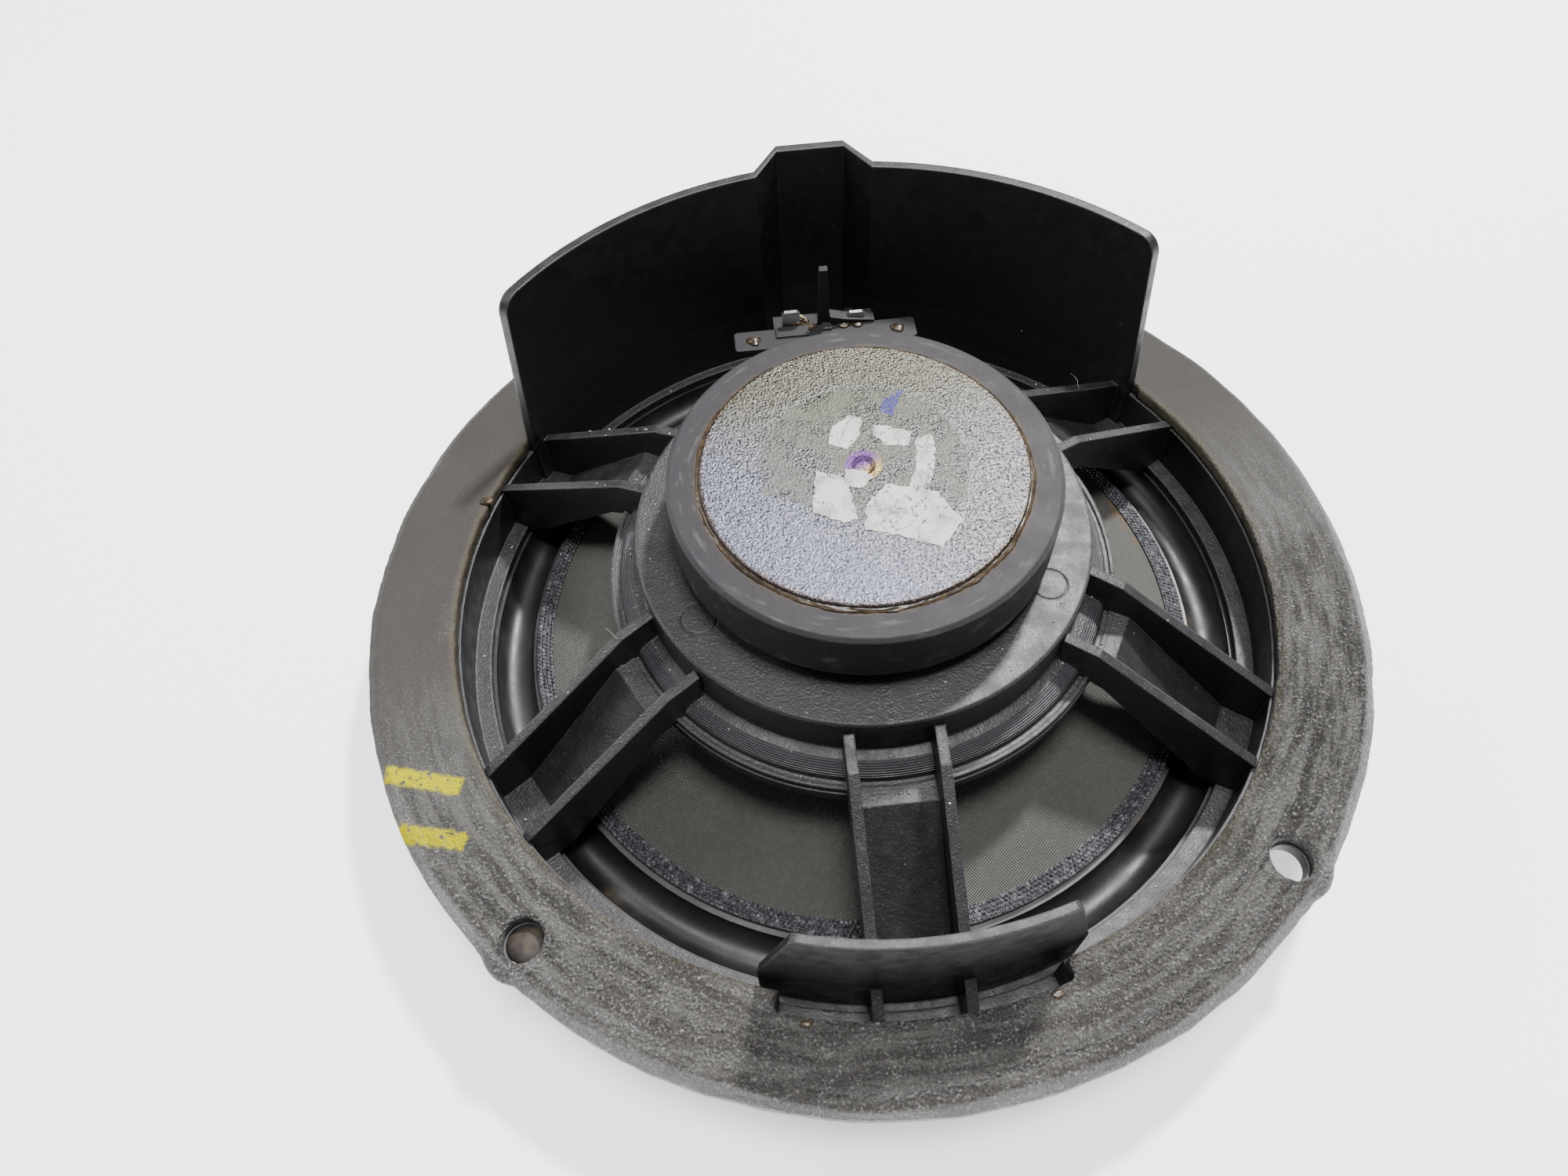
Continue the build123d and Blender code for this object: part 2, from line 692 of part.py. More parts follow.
def spider_line(top_z):
    """One face of the spider from the cuff to the landing, as arcs that dip and rise in turn."""
    Line((spider_in_r, top_z), (wave_in_r, top_z))
    for half_wave in range(2 * spider_waves):
        start_r = wave_in_r + half_wave * wave_len / 2
        bend = -wave_h if half_wave % 2 == 0 else wave_h
        ThreePointArc(
            (start_r, top_z),
            (start_r + wave_len / 4, top_z + bend),
            (start_r + wave_len / 2, top_z),
        )
    Line((wave_out_r, top_z), (spider_out_r, top_z))


with BuildPart() as spider:
    with BuildSketch(Plane.XZ):
        with BuildLine():
            spider_line(landing_z)
            Line((spider_out_r, landing_z), (spider_out_r, landing_z - spider_t))
            spider_line(landing_z - spider_t)
            Line((spider_in_r, landing_z - spider_t), (spider_in_r, landing_z))
        make_face()
    revolve(axis=Axis.Z)
save(spider.part, "spider")

with BuildPart() as spider_ring:
    with BuildSketch(Plane.XY.offset(landing_z - spider_t - spider_ring_h)):
        Circle(landing_r + spider_ring_over)
        Circle(landing_r - landing_w, mode=Mode.SUBTRACT)
    extrude(amount=spider_ring_h)
save(spider_ring.part, "spider_ring")

# ---- motor -------------------------------------------------------------------
with BuildPart() as front_plate:
    with BuildSketch(Plane.XY.offset(plate_bottom_z)):
        Circle(plate_r)
        Circle(plate_bore_r, mode=Mode.SUBTRACT)
    extrude(amount=plate_t)
    chamfer(front_plate.edges().filter_by(GeomType.CIRCLE).sort_by(SortBy.RADIUS)[-2:], plate_edge)
save(front_plate.part, "front_plate")

with BuildPart() as magnet:
    with BuildSketch(Plane.XY.offset(magnet_bottom_z)):
        Circle(magnet_r)
        Circle(magnet_in_r, mode=Mode.SUBTRACT)
    extrude(amount=magnet_t)
    with BuildSketch(Plane.XY.offset(magnet_top_z - yoke_seat)):
        Circle(yoke_r + seat_clearance)
    extrude(amount=yoke_seat, mode=Mode.SUBTRACT)
    chamfer(magnet.edges().filter_by(GeomType.CIRCLE).sort_by(SortBy.RADIUS)[-2:], magnet_edge)
save(magnet.part, "magnet")

yoke_bottom_z = magnet_top_z - yoke_seat
yoke_top_z = magnet_top_z + yoke_proud
with BuildPart() as pole_yoke:
    with BuildSketch(Plane.XY.offset(yoke_bottom_z)):
        Circle(yoke_r)
    extrude(amount=yoke_top_z - yoke_bottom_z)
    fillet(pole_yoke.edges().filter_by(GeomType.CIRCLE).group_by(Axis.Z)[-1], yoke_edge)
    with BuildSketch(Plane.XY.offset(plate_bottom_z)):
        Circle(pole_r)
    extrude(amount=yoke_bottom_z - plate_bottom_z)
    chamfer(pole_yoke.edges().filter_by(GeomType.CIRCLE).group_by(Axis.Z)[0], pole_edge)
    with Locations((0, 0, yoke_top_z)):
        Cone(dimple_floor_r, dimple_r, 2 * dimple_depth, mode=Mode.SUBTRACT)
save(pole_yoke.part, "pole_yoke")

# ---- terminal block on the spoke at +Y, with a slotted ear at each end and a m
plate_top_z = terminal_z + plate_h
housing_mid_y = plate_back_y + (housing_d - root) / 2
hump_x = post_base_w / 2
with BuildPart() as terminal_block:
    with BuildSketch(Plane.XY.offset(terminal_z)):
        with Locations((0, terminal_y)):
            RectangleRounded(plate_w, plate_d, plate_corner_r)
    extrude(amount=plate_h)
    # housing of the blades, lower than the plate, and the tongue between the ribs
    with BuildSketch(Plane.XY.offset(terminal_z)):
        with Locations((0, housing_mid_y)):
            Rectangle(housing_w, housing_d + root)
    extrude(amount=housing_t)
    with BuildSketch(Plane.XY.offset(terminal_z)):
        with Locations((0, terminal_y)):
            Rectangle(2 * spoke_half_w - rib_t - 2 * fit, plate_d)
    extrude(amount=-tongue_h)
    # raised boss on the left, sloping hump on the right
    with BuildSketch(Plane.XY.offset(terminal_z)):
        with Locations((-blade_x, plate_back_y - boss_d / 2)):
            Rectangle(boss_w, boss_d)
    extrude(amount=plate_h + boss_h)
    with BuildSketch(Plane.XZ.offset(-plate_back_y + root)):
        Polygon(
            (hump_x, terminal_z),
            (hump_x, plate_top_z + hump_high),
            (hump_x + hump_w / 3, plate_top_z + (hump_high + hump_low) / 2),
            (hump_x + hump_w, plate_top_z + hump_low),
            (hump_x + hump_w, terminal_z),
            align=None,
        )
    extrude(amount=-hump_d)
    # tapered post and its foot
    with BuildSketch(Plane.XZ.offset(-plate_back_y)):
        Polygon(
            (-post_base_w / 2, terminal_z),
            (-post_top_w / 2, plate_top_z + post_h),
            (post_top_w / 2, plate_top_z + post_h),
            (post_base_w / 2, terminal_z),
            align=None,
        )
    extrude(amount=-post_d)
    with BuildSketch(Plane.XY.offset(terminal_z)):
        with Locations((post_foot_w / 4, plate_back_y - post_foot_d / 2)):
            Rectangle(post_foot_w, post_foot_d + root)
    extrude(amount=plate_h + post_foot_h)
    # slots through the ears, and seats for the blades
    with BuildSketch(Plane.XY.offset(terminal_z)):
        with Locations((-tag_slot_x, terminal_y + tag_slot_out), (tag_slot_x, terminal_y + tag_slot_out)):
            Rectangle(tag_slot_len, tag_slot_w)
    extrude(amount=plate_h, mode=Mode.SUBTRACT)
    with BuildSketch(Plane.XY.offset(terminal_z + housing_t - blade_inset)):
        with Locations((-blade_x, blade_y), (blade_x, blade_y)):
            Rectangle(blade_w, blade_t)
    extrude(amount=post_h, mode=Mode.SUBTRACT)
save(terminal_block.part, "terminal_block")

blade_names = ("terminal_blade_left", "terminal_blade_right")
for blade_name, side, blade_h in zip(blade_names, (-1, 1), blade_heights):
    blade_bottom_z = terminal_z + housing_t - blade_inset
    with BuildPart() as blade:
        with BuildSketch(Plane.XY.offset(blade_bottom_z)):
            with Locations((side * blade_x, blade_y)):
                Rectangle(blade_w, blade_t)
        extrude(amount=plate_top_z + blade_h - blade_bottom_z)
        chamfer(blade.edges().filter_by(Axis.Y).group_by(Axis.Z)[-1], blade_edge)
    save(blade.part, blade_name)

# ---- eyelets riveted through the cone, and the flexible leads to them --------
eyelet_names = ("lead_eyelet_right", "lead_eyelet_left")
for eyelet_name, place in zip(eyelet_names, eyelet_places):
    with BuildPart() as eyelet:
        with BuildSketch(place.offset(-cone_t / 2 - eyelet_head_t)):
            Circle(eyelet_head_r)
        extrude(amount=eyelet_head_t)
        with BuildSketch(place.offset(-cone_t / 2)):
            Circle(eyelet_r)
        extrude(amount=cone_t)
        with BuildSketch(place.offset(cone_t / 2)):
            Circle(eyelet_head_r)
        extrude(amount=eyelet_head_t)
    save(eyelet.part, eyelet_name)

lead_names = ("tinsel_lead_right", "tinsel_lead_left")
for lead_name, side, place in zip(lead_names, (1, -1), eyelet_places):
    end = place.offset(cone_t / 2 + eyelet_head_t + lead_r + fit).origin
    with BuildPart() as lead:
        with BuildLine():
            lead_path = FilletPolyline(
                (side * tag_slot_x, terminal_y + 0.2, terminal_z),
                (side * tag_slot_x, terminal_y + 0.2, terminal_z - 4.2),
                (side * (tag_slot_x + 0.3), terminal_y - 2.6, terminal_z - 8.6),
                (side * (tag_slot_x + 0.1), terminal_y - 7.6, terminal_z - 11.6),
                (end.X + side * 0.7, end.Y + 4.6, end.Z + 1.2),
                (end.X, end.Y, end.Z),
                radius=lead_bend_r,
            )
        with BuildSketch(Plane(lead_path @ 0, z_dir=lead_path % 0)):
            Circle(lead_r)
        sweep()
    save(lead.part, lead_name)
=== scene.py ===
import math
import random

import bpy
from mathutils import Matrix, Vector, noise
from mathutils.bvhtree import BVHTree
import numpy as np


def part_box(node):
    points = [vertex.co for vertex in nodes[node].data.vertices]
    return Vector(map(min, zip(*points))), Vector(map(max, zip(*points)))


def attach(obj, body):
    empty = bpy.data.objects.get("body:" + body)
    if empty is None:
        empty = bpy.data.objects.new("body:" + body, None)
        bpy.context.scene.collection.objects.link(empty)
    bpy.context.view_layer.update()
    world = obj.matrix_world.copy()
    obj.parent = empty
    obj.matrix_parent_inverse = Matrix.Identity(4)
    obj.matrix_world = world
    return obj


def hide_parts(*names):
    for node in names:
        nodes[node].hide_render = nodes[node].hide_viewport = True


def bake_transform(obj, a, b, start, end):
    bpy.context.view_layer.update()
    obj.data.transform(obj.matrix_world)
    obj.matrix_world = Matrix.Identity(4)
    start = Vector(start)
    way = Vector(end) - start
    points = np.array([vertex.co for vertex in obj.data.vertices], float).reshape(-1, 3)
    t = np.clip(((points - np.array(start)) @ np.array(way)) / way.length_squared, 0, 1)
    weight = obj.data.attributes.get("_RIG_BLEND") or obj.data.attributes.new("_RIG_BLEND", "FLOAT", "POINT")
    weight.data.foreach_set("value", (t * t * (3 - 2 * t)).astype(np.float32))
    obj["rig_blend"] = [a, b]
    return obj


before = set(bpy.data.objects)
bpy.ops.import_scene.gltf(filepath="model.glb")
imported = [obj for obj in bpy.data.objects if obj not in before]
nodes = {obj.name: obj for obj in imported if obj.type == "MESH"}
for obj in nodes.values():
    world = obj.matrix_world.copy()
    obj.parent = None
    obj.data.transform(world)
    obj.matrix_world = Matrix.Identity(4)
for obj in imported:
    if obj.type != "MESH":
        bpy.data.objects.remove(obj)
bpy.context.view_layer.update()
MM = 0.001
BASE = "frame_body"
MOVING = "cone_assembly"

# ---- places read from the frame -------------------------------------------------
gasket_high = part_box("rear_gasket")[1]
cone_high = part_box("cone")[1]
band_low, band_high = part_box("edge_band")
magnet_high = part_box("magnet")[1]
yoke_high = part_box("pole_yoke")[1]
former_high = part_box("coil_former")[1]
spider_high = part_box("spider")[1]

GASKET_R = gasket_high.x
GASKET_TOP = gasket_high.z
CONE_R = cone_high.x
MAGNET_R = magnet_high.x
MAGNET_TOP = magnet_high.z
YOKE_R = yoke_high.x
YOKE_TOP = yoke_high.z


# ---- mesh helpers ---------------------------------------------------------------
def add_mesh(name, verts, faces, smooth=True):
    """A new mesh object in the scene."""
    mesh = bpy.data.meshes.new(name)
    mesh.from_pydata([tuple(v) for v in verts], [], faces)
    mesh.update()
    obj = bpy.data.objects.new(name, mesh)
    bpy.context.scene.collection.objects.link(obj)
    if smooth:
        mesh.polygons.foreach_set("use_smooth", [True] * len(mesh.polygons))
    return obj


def lathe(name, profile, segments=256, closed=True, warp=None):
    """Turns a profile of (radius, z) points about the axis; warp moves each point."""
    verts = []
    count = len(profile)
    for i in range(segments):
        angle = 2 * math.pi * i / segments
        for k, (r, z) in enumerate(profile):
            if warp:
                r, z = warp(r, z, angle, k)
            verts.append((r * math.cos(angle), r * math.sin(angle), z))
    faces = []
    spans = count if closed else count - 1
    for i in range(segments):
        j = (i + 1) % segments
        for k in range(spans):
            m = (k + 1) % count
            faces.append((i * count + k, j * count + k, j * count + m, i * count + m))
    return add_mesh(name, verts, faces)


def rounded(points, radius, steps=4):
    """The closed profile with each corner rounded, by at most a third of its shorter side."""
    out = []
    count = len(points)
    for i in range(count):
        before = Vector(points[i - 1])
        here = Vector(points[i])
        after = Vector(points[(i + 1) % count])
        back = before - here
        ahead = after - here
        cut = min(radius, back.length / 3, ahead.length / 3)
        start = here + back.normalized() * cut
        end = here + ahead.normalized() * cut
        for s in range(steps + 1):
            t = s / steps
            out.append(tuple((1 - t) ** 2 * start + 2 * t * (1 - t) * here + t * t * end))
    return out


# ---- material helpers --------------------------------------------------------------
class Shader:
    """Builds one node material, step by step."""

    def __init__(self, name):
        self.mat = bpy.data.materials.new(name)
        self.mat.use_nodes = True
        self.tree = self.mat.node_tree
        self.tree.nodes.clear()
        self.out = self.tree.nodes.new("ShaderNodeOutputMaterial")
        self.bsdf = self.tree.nodes.new("ShaderNodeBsdfPrincipled")
        self.tree.links.new(self.bsdf.outputs[0], self.out.inputs[0])
        self.place = self.tree.nodes.new("ShaderNodeTexCoord").outputs["Object"]
        self._split = None

    def put(self, value, socket):
        if isinstance(value, bpy.types.NodeSocket):
            self.tree.links.new(value, socket)
        elif value is not None:
            if socket.type == "RGBA" and len(value) == 3:
                value = (*value, 1.0)
            socket.default_value = value

    def math(self, op, a, b=None, c=None, clamp=False):
        node = self.tree.nodes.new("ShaderNodeMath")
        node.operation = op
        node.use_clamp = clamp
        for value, socket in zip((a, b, c), node.inputs):
            self.put(value, socket)
        return node.outputs[0]

    def vector(self, op, a, b=None, out=0):
        node = self.tree.nodes.new("ShaderNodeVectorMath")
        node.operation = op
        self.put(a, node.inputs[0])
        if b is not None:
            self.put(b, node.inputs["Scale"] if op == "SCALE" else node.inputs[1])
        return node.outputs[out]

    def xyz(self):
        if self._split is None:
            node = self.tree.nodes.new("ShaderNodeSeparateXYZ")
            self.put(self.place, node.inputs[0])
            self._split = (node.outputs[0], node.outputs[1], node.outputs[2])
        return self._split

    def radius(self):
        x, y, _ = self.xyz()
        return self.math("SQRT", self.math("ADD", self.math("MULTIPLY", x, x), self.math("MULTIPLY", y, y)))

    def angle(self):
        x, y, _ = self.xyz()
        return self.math("ARCTAN2", y, x)

    def join(self, x, y, z):
        node = self.tree.nodes.new("ShaderNodeCombineXYZ")
        for value, socket in zip((x, y, z), node.inputs):
            self.put(value, socket)
        return node.outputs[0]

    def noise(self, scale, detail=3.0, rough=0.55, place=None, distortion=0.0, colour=False):
        node = self.tree.nodes.new("ShaderNodeTexNoise")
        self.put(place or self.place, node.inputs["Vector"])
        node.inputs["Scale"].default_value = scale
        node.inputs["Detail"].default_value = detail
        node.inputs["Roughness"].default_value = rough
        node.inputs["Distortion"].default_value = distortion
        return node.outputs[1] if colour else node.outputs[0]

    def cells(self, scale, feature="F1", place=None, out="Distance", smooth=None, jitter=1.0):
        node = self.tree.nodes.new("ShaderNodeTexVoronoi")
        node.feature = feature
        self.put(place or self.place, node.inputs["Vector"])
        node.inputs["Scale"].default_value = scale
        node.inputs["Randomness"].default_value = jitter
        if smooth is not None:
            node.inputs["Smoothness"].default_value = smooth
        return node.outputs[out]

    def ramp(self, value, low, high, to_low=0.0, to_high=1.0, smooth=True):
        node = self.tree.nodes.new("ShaderNodeMapRange")
        node.interpolation_type = "SMOOTHSTEP" if smooth else "LINEAR"
        for item, socket in zip((value, low, high, to_low, to_high), node.inputs):
            self.put(item, socket)
        return node.outputs[0]

    def mix(self, factor, a, b):
        node = self.tree.nodes.new("ShaderNodeMix")
        node.data_type = "RGBA"
        self.put(factor, node.inputs[0])
        self.put(a, node.inputs[6])
        self.put(b, node.inputs[7])
        return node.outputs[2]

    def blend(self, factor, a, b):
        node = self.tree.nodes.new("ShaderNodeMix")
        self.put(factor, node.inputs[0])
        self.put(a, node.inputs[2])
        self.put(b, node.inputs[3])
        return node.outputs[0]

    def bump(self, height, distance, strength=1.0, normal=None):
        node = self.tree.nodes.new("ShaderNodeBump")
        self.put(strength, node.inputs["Strength"])
        node.inputs["Distance"].default_value = distance
        self.put(height, node.inputs["Height"])
        if normal is not None:
            self.put(normal, node.inputs["Normal"])
        return node.outputs[0]

    def upward(self):
        """How far the surface faces up, from 0 to 1."""
        node = self.tree.nodes.new("ShaderNodeNewGeometry")
        split = self.tree.nodes.new("ShaderNodeSeparateXYZ")
        self.put(node.outputs["Normal"], split.inputs[0])
        return self.math("MAXIMUM", split.outputs[2], 0.0)

    def edges(self, radius, low, high, keep=1.0):
        """How near an edge is, from 0 to 1, and a normal that rounds it; keep at 0 turns both off."""
        bevel = self.tree.nodes.new("ShaderNodeBevel")
        bevel.samples = 6
        bevel.inputs["Radius"].default_value = radius
        flat = self.tree.nodes.new("ShaderNodeNewGeometry").outputs["Normal"]
        same = self.vector("DOT_PRODUCT", bevel.outputs[0], flat, out=1)
        worn = self.math("MULTIPLY", self.ramp(self.math("SUBTRACT", 1.0, same), low, high), keep)
        turned = self.vector("SCALE", self.vector("SUBTRACT", bevel.outputs[0], flat), keep)
        return worn, self.vector("NORMALIZE", self.vector("ADD", flat, turned))

    def finish(self, colour, rough, metal=0.0, normal=None, **extra):
        self.put(colour, self.bsdf.inputs["Base Color"])
        self.put(rough, self.bsdf.inputs["Roughness"])
        self.put(metal, self.bsdf.inputs["Metallic"])
        if normal is not None:
            self.put(normal, self.bsdf.inputs["Normal"])
        for key, value in extra.items():
            self.put(value, self.bsdf.inputs[key.replace("_", " ")])
        return self.mat


def paint(obj, mat):
    """Gives an object its material."""
    obj.data.materials.clear()
    obj.data.materials.append(mat)


# ---- materials ---------------------------------------------------------------------------
def specks(s, scale, size, share):
    """Scattered dots: 1 inside a few small cells, 0 elsewhere."""
    near = s.cells(scale)
    pick = s.cells(scale, out="Color")
    chosen = s.math("GREATER_THAN", s.vector("DOT_PRODUCT", pick, (0.5, 0.3, 0.2), out=1), 1 - share)
    dot = s.ramp(near, size, size * 0.5)
    return s.math("MULTIPLY", dot, chosen)


def moulded_black(name, tint=(0.0085, 0.0085, 0.0098), dust=0.5, grain=1.0, rings=False):
    """Grained black moulding with worn edges, dust on its upper faces and pale specks."""
    s = Shader(name)
    _, _, z = s.xyz()
    off_seam = s.ramp(s.math("ABSOLUTE", s.math("SUBTRACT", z, WALL_SEAM_Z)), 0.0006, 0.0012)
    wear, soft_normal = s.edges(0.0006, 0.02, 0.28, off_seam)
    broad = s.noise(55, 4)
    patch = s.ramp(s.noise(140, 5, 0.65), 0.48, 0.72)
    up = s.math("POWER", s.upward(), 3.0)
    colour = s.mix(broad, tint, tuple(c * 1.9 for c in tint))
    film = s.math("MULTIPLY", s.math("MULTIPLY", up, s.blend(patch, 0.25, 1.0)), dust)
    colour = s.mix(s.math("MULTIPLY", film, 0.45), colour, (0.050, 0.049, 0.048))
    scuff = s.math("MULTIPLY", wear, s.ramp(s.noise(420, 3), 0.35, 0.65, 0.25, 0.9))
    colour = s.mix(scuff, colour, (0.085, 0.085, 0.088))
    dots = s.math("MULTIPLY", specks(s, 760, 0.20, 0.16), s.blend(up, 0.25, 1.0))
    dots = s.math("MULTIPLY", dots, s.ramp(broad, 0.4, 0.65, 0.25, 1.0))
    colour = s.mix(s.math("MULTIPLY", dots, 0.8), colour, (0.36, 0.34, 0.31))
    fine = s.noise(2300, 2, 0.6)
    coarse = s.cells(1050, "SMOOTH_F1", smooth=0.6)
    height = s.math("ADD", s.math("MULTIPLY", fine, 0.7), s.math("MULTIPLY", coarse, 0.25))
    normal = s.bump(height, 0.00018 * grain, 0.8, soft_normal)
    glint = s.math("MULTIPLY", s.ramp(fine, 0.60, 0.70), up)
    colour = s.mix(s.math("MULTIPLY", glint, 0.45), colour, (0.13, 0.13, 0.135))
    if rings:
        r = s.radius()
        inside = s.math("MULTIPLY", s.ramp(r, 0.0441, 0.0446), s.ramp(r, 0.0470, 0.0466))
        inside = s.math("MULTIPLY", inside, s.ramp(z, 0.0290, 0.0296))
        inside = s.math("MULTIPLY", inside, s.ramp(z, 0.0338, 0.0334))
        lines = s.math("SINE", s.math("MULTIPLY", s.math("SUBTRACT", r, z), 2 * math.pi / 0.00062))
        lines = s.math("MULTIPLY", lines, inside)
        normal = s.bump(lines, 0.00010, 0.9, normal)
        shine = s.math("MULTIPLY", inside, s.ramp(lines, 0.3, 0.9))
        colour = s.mix(s.math("MULTIPLY", shine, 0.5), colour, (0.10, 0.10, 0.12))
    rough = s.ramp(s.noise(300, 3), 0.3, 0.7, 0.34, 0.52)
    rough = s.blend(film, rough, 0.7)
    return s.finish(colour, rough, normal=normal, Specular_IOR_Level=0.50)


def line_mask(s, start, end, width, soft):
    """1 along a straight stroke from start to end, in the plane of x and y."""
    x, y, _ = s.xyz()
    (ax, ay), (bx, by) = start, end
    length = math.hypot(bx - ax, by - ay)
    dx, dy = (bx - ax) / length, (by - ay) / length
    px = s.math("SUBTRACT", x, ax)
    py = s.math("SUBTRACT", y, ay)
    along = s.math("ADD", s.math("MULTIPLY", px, dx), s.math("MULTIPLY", py, dy))
    across = s.math("ADD", s.math("MULTIPLY", px, -dy), s.math("MULTIPLY", py, dx))
    past_end = s.math("MAXIMUM", s.math("SUBTRACT", along, length), s.math("MULTIPLY", along, -1.0))
    away = s.math("MAXIMUM", s.math("ABSOLUTE", across), past_end)
    away = s.math("ADD", away, s.math("MULTIPLY", s.math("SUBTRACT", s.noise(520, 4, 0.6), 0.5), width))
    return s.ramp(away, width + soft, width - soft)


def foam_skin():
    """Aged foam with a crinkled glossy skin, glue at its inner edge and two chalk strokes; its near side is
    painted lighter, with painted glint streaks and painted sparkle, and its pits get painted shade.
    """
    s = Shader("foam_skin")
    x, y, z = s.xyz()
    r = s.radius()
    warm = s.noise(28, 4)
    colour = s.mix(warm, (0.026, 0.024, 0.022), (0.046, 0.043, 0.040))
    # painted light: the near edge of the ring is painted lighter, standing in for its glints
    colour = s.mix(s.ramp(y, -0.05, -0.09), colour, (0.066, 0.062, 0.058))
    dirt = s.ramp(s.noise(75, 6, 0.7), 0.50, 0.72)
    colour = s.mix(s.math("MULTIPLY", dirt, 0.5), colour, (0.038, 0.035, 0.032))
    # the skin is glossier on the near side and towards the right
    near_side = s.ramp(s.math("ADD", s.math("MULTIPLY", y, -1.0), s.math("MULTIPLY", x, 0.25)), -0.02, 0.06)
    crisp = s.math("MAXIMUM", near_side, s.ramp(s.noise(34, 3), 0.60, 0.80, 0.0, 0.5))
    grain = s.noise(2300, 4, 0.65, distortion=0.3)
    pebble = s.cells(1500, "SMOOTH_F1", smooth=0.2)
    crinkle = s.noise(430, 5, 0.62, distortion=0.8)
    height = s.math("ADD", s.math("MULTIPLY", pebble, 0.8), s.math("MULTIPLY", grain, 1.2))
    height = s.math("ADD", height, s.math("MULTIPLY", crinkle, 0.5))
    normal = s.bump(height, 0.00095, s.blend(crisp, 0.25, 1.0))
    around = s.join(r, s.math("MULTIPLY", s.angle(), 0.012), 0.0)
    # painted highlight: bright glint streaks running round the ring on its near side
    painted_glint_streak = s.math("MULTIPLY", s.ramp(s.noise(420, 5, 0.65, place=around), 0.40, 0.62), near_side)
    colour = s.mix(painted_glint_streak, colour, (0.135, 0.130, 0.123))
    sparkle = s.math("MULTIPLY", s.ramp(grain, 0.55, 0.62), s.ramp(crinkle, 0.34, 0.56))
    colour = s.mix(s.math("MULTIPLY", sparkle, s.blend(crisp, 0.04, 0.75)), colour, (0.36, 0.35, 0.335))
    # painted shade: the low spots of the grain are painted darker on the glossy skin
    painted_pit_shade = s.math("MULTIPLY", s.ramp(grain, 0.44, 0.36), crisp)
    colour = s.mix(s.math("MULTIPLY", painted_pit_shade, 0.55), colour, (0.016, 0.015, 0.014))
    ragged = s.math("ADD", r, s.math("MULTIPLY", s.noise(260, 4), 0.0016))
    glue = s.ramp(ragged, GASKET_INNER + 0.0026, GASKET_INNER + 0.0010)
    colour = s.mix(s.math("MULTIPLY", glue, 0.45), colour, (0.085, 0.068, 0.040))
    stroke = None
    for start, end in CHALK_STROKES:
        line = line_mask(s, start, end, 0.0016, 0.0005)
        stroke = line if stroke is None else s.math("MAXIMUM", stroke, line)
    rubbed = s.math("MULTIPLY", stroke, s.ramp(s.noise(620, 4, 0.7), 0.36, 0.46))
    rubbed = s.math("MULTIPLY", rubbed, s.math("GREATER_THAN", z, GASKET_TOP - 0.002))
    colour = s.mix(s.math("MULTIPLY", rubbed, 0.92), colour, (0.44, 0.40, 0.0))
    rough = s.blend(crisp, 0.70, s.ramp(crinkle, 0.35, 0.65, 0.20, 0.36))
    rough = s.blend(rubbed, rough, 0.85)
    shine = s.math("MULTIPLY", s.blend(crisp, 0.22, 0.95), s.math("SUBTRACT", 1.0, rubbed))
    return s.finish(colour, rough, normal=normal, Specular_IOR_Level=shine)


def cone_weave(name="cone_weave", pitch=0.00058, tint=(0.026, 0.027, 0.024), light=(0.074, 0.075, 0.066)):
    """Coated basket weave with dust on it and rusty water marks on its right side."""
    s = Shader(name)
    x, y, _ = s.xyz()
    wobble = s.noise(60, 2)
    turn = 2 * math.pi / pitch
    u = s.math("SINE", s.math("ADD", s.math("MULTIPLY", x, turn), s.math("MULTIPLY", wobble, 5.0)))
    v = s.math("SINE", s.math("ADD", s.math("MULTIPLY", y, turn), s.math("MULTIPLY", wobble, 5.0)))
    knots = s.math("MULTIPLY", u, v)
    tone = s.ramp(s.noise(26, 5, 0.6), 0.34, 0.68)
    colour = s.mix(tone, tuple(0.72 * c for c in light), light)
    colour = s.mix(s.ramp(knots, 0.35, -0.75), colour, tint)
    glint = s.math("MULTIPLY", s.ramp(knots, 0.45, 0.95), s.ramp(s.noise(900, 2), 0.46, 0.62))
    colour = s.mix(s.math("MULTIPLY", glint, 0.35), colour, (0.26, 0.26, 0.22))
    side = s.math("MULTIPLY", s.ramp(s.angle(), -0.25, 0.10), s.ramp(s.angle(), 0.62, 0.40))
    marks = s.math("MULTIPLY", side, s.ramp(s.noise(95, 5, 0.7, distortion=0.6), 0.53, 0.62))
    colour = s.mix(s.math("MULTIPLY", marks, 0.65), colour, (0.11, 0.060, 0.024))
    normal = s.bump(knots, 0.00010, 0.8)
    return s.finish(colour, s.ramp(tone, 0.0, 1.0, 0.42, 0.58), normal=normal)


def edge_knit():
    """Dark knitted band whose raised loops are painted lighter, with painted highlights, where they would
    catch the light.
    """
    s = Shader("edge_knit")
    _, _, z = s.xyz()
    height = s.ramp(z, BAND_TOP - 0.0003, BAND_TOP + 0.0002)
    wild = s.noise(1500, 3)
    # painted light: the raised tops of the loops are painted lighter, with spots of painted highlight
    tone = s.math("MULTIPLY", height, s.ramp(wild, 0.38, 0.60))
    colour = s.mix(tone, (0.006, 0.006, 0.008), (0.058, 0.058, 0.068))
    painted_loop_highlight = s.math("MULTIPLY", s.ramp(s.noise(800, 3), 0.56, 0.66), height)
    colour = s.mix(painted_loop_highlight, colour, (0.17, 0.17, 0.19))
    return s.finish(colour, 0.34, normal=s.bump(wild, 0.00025, 0.8))


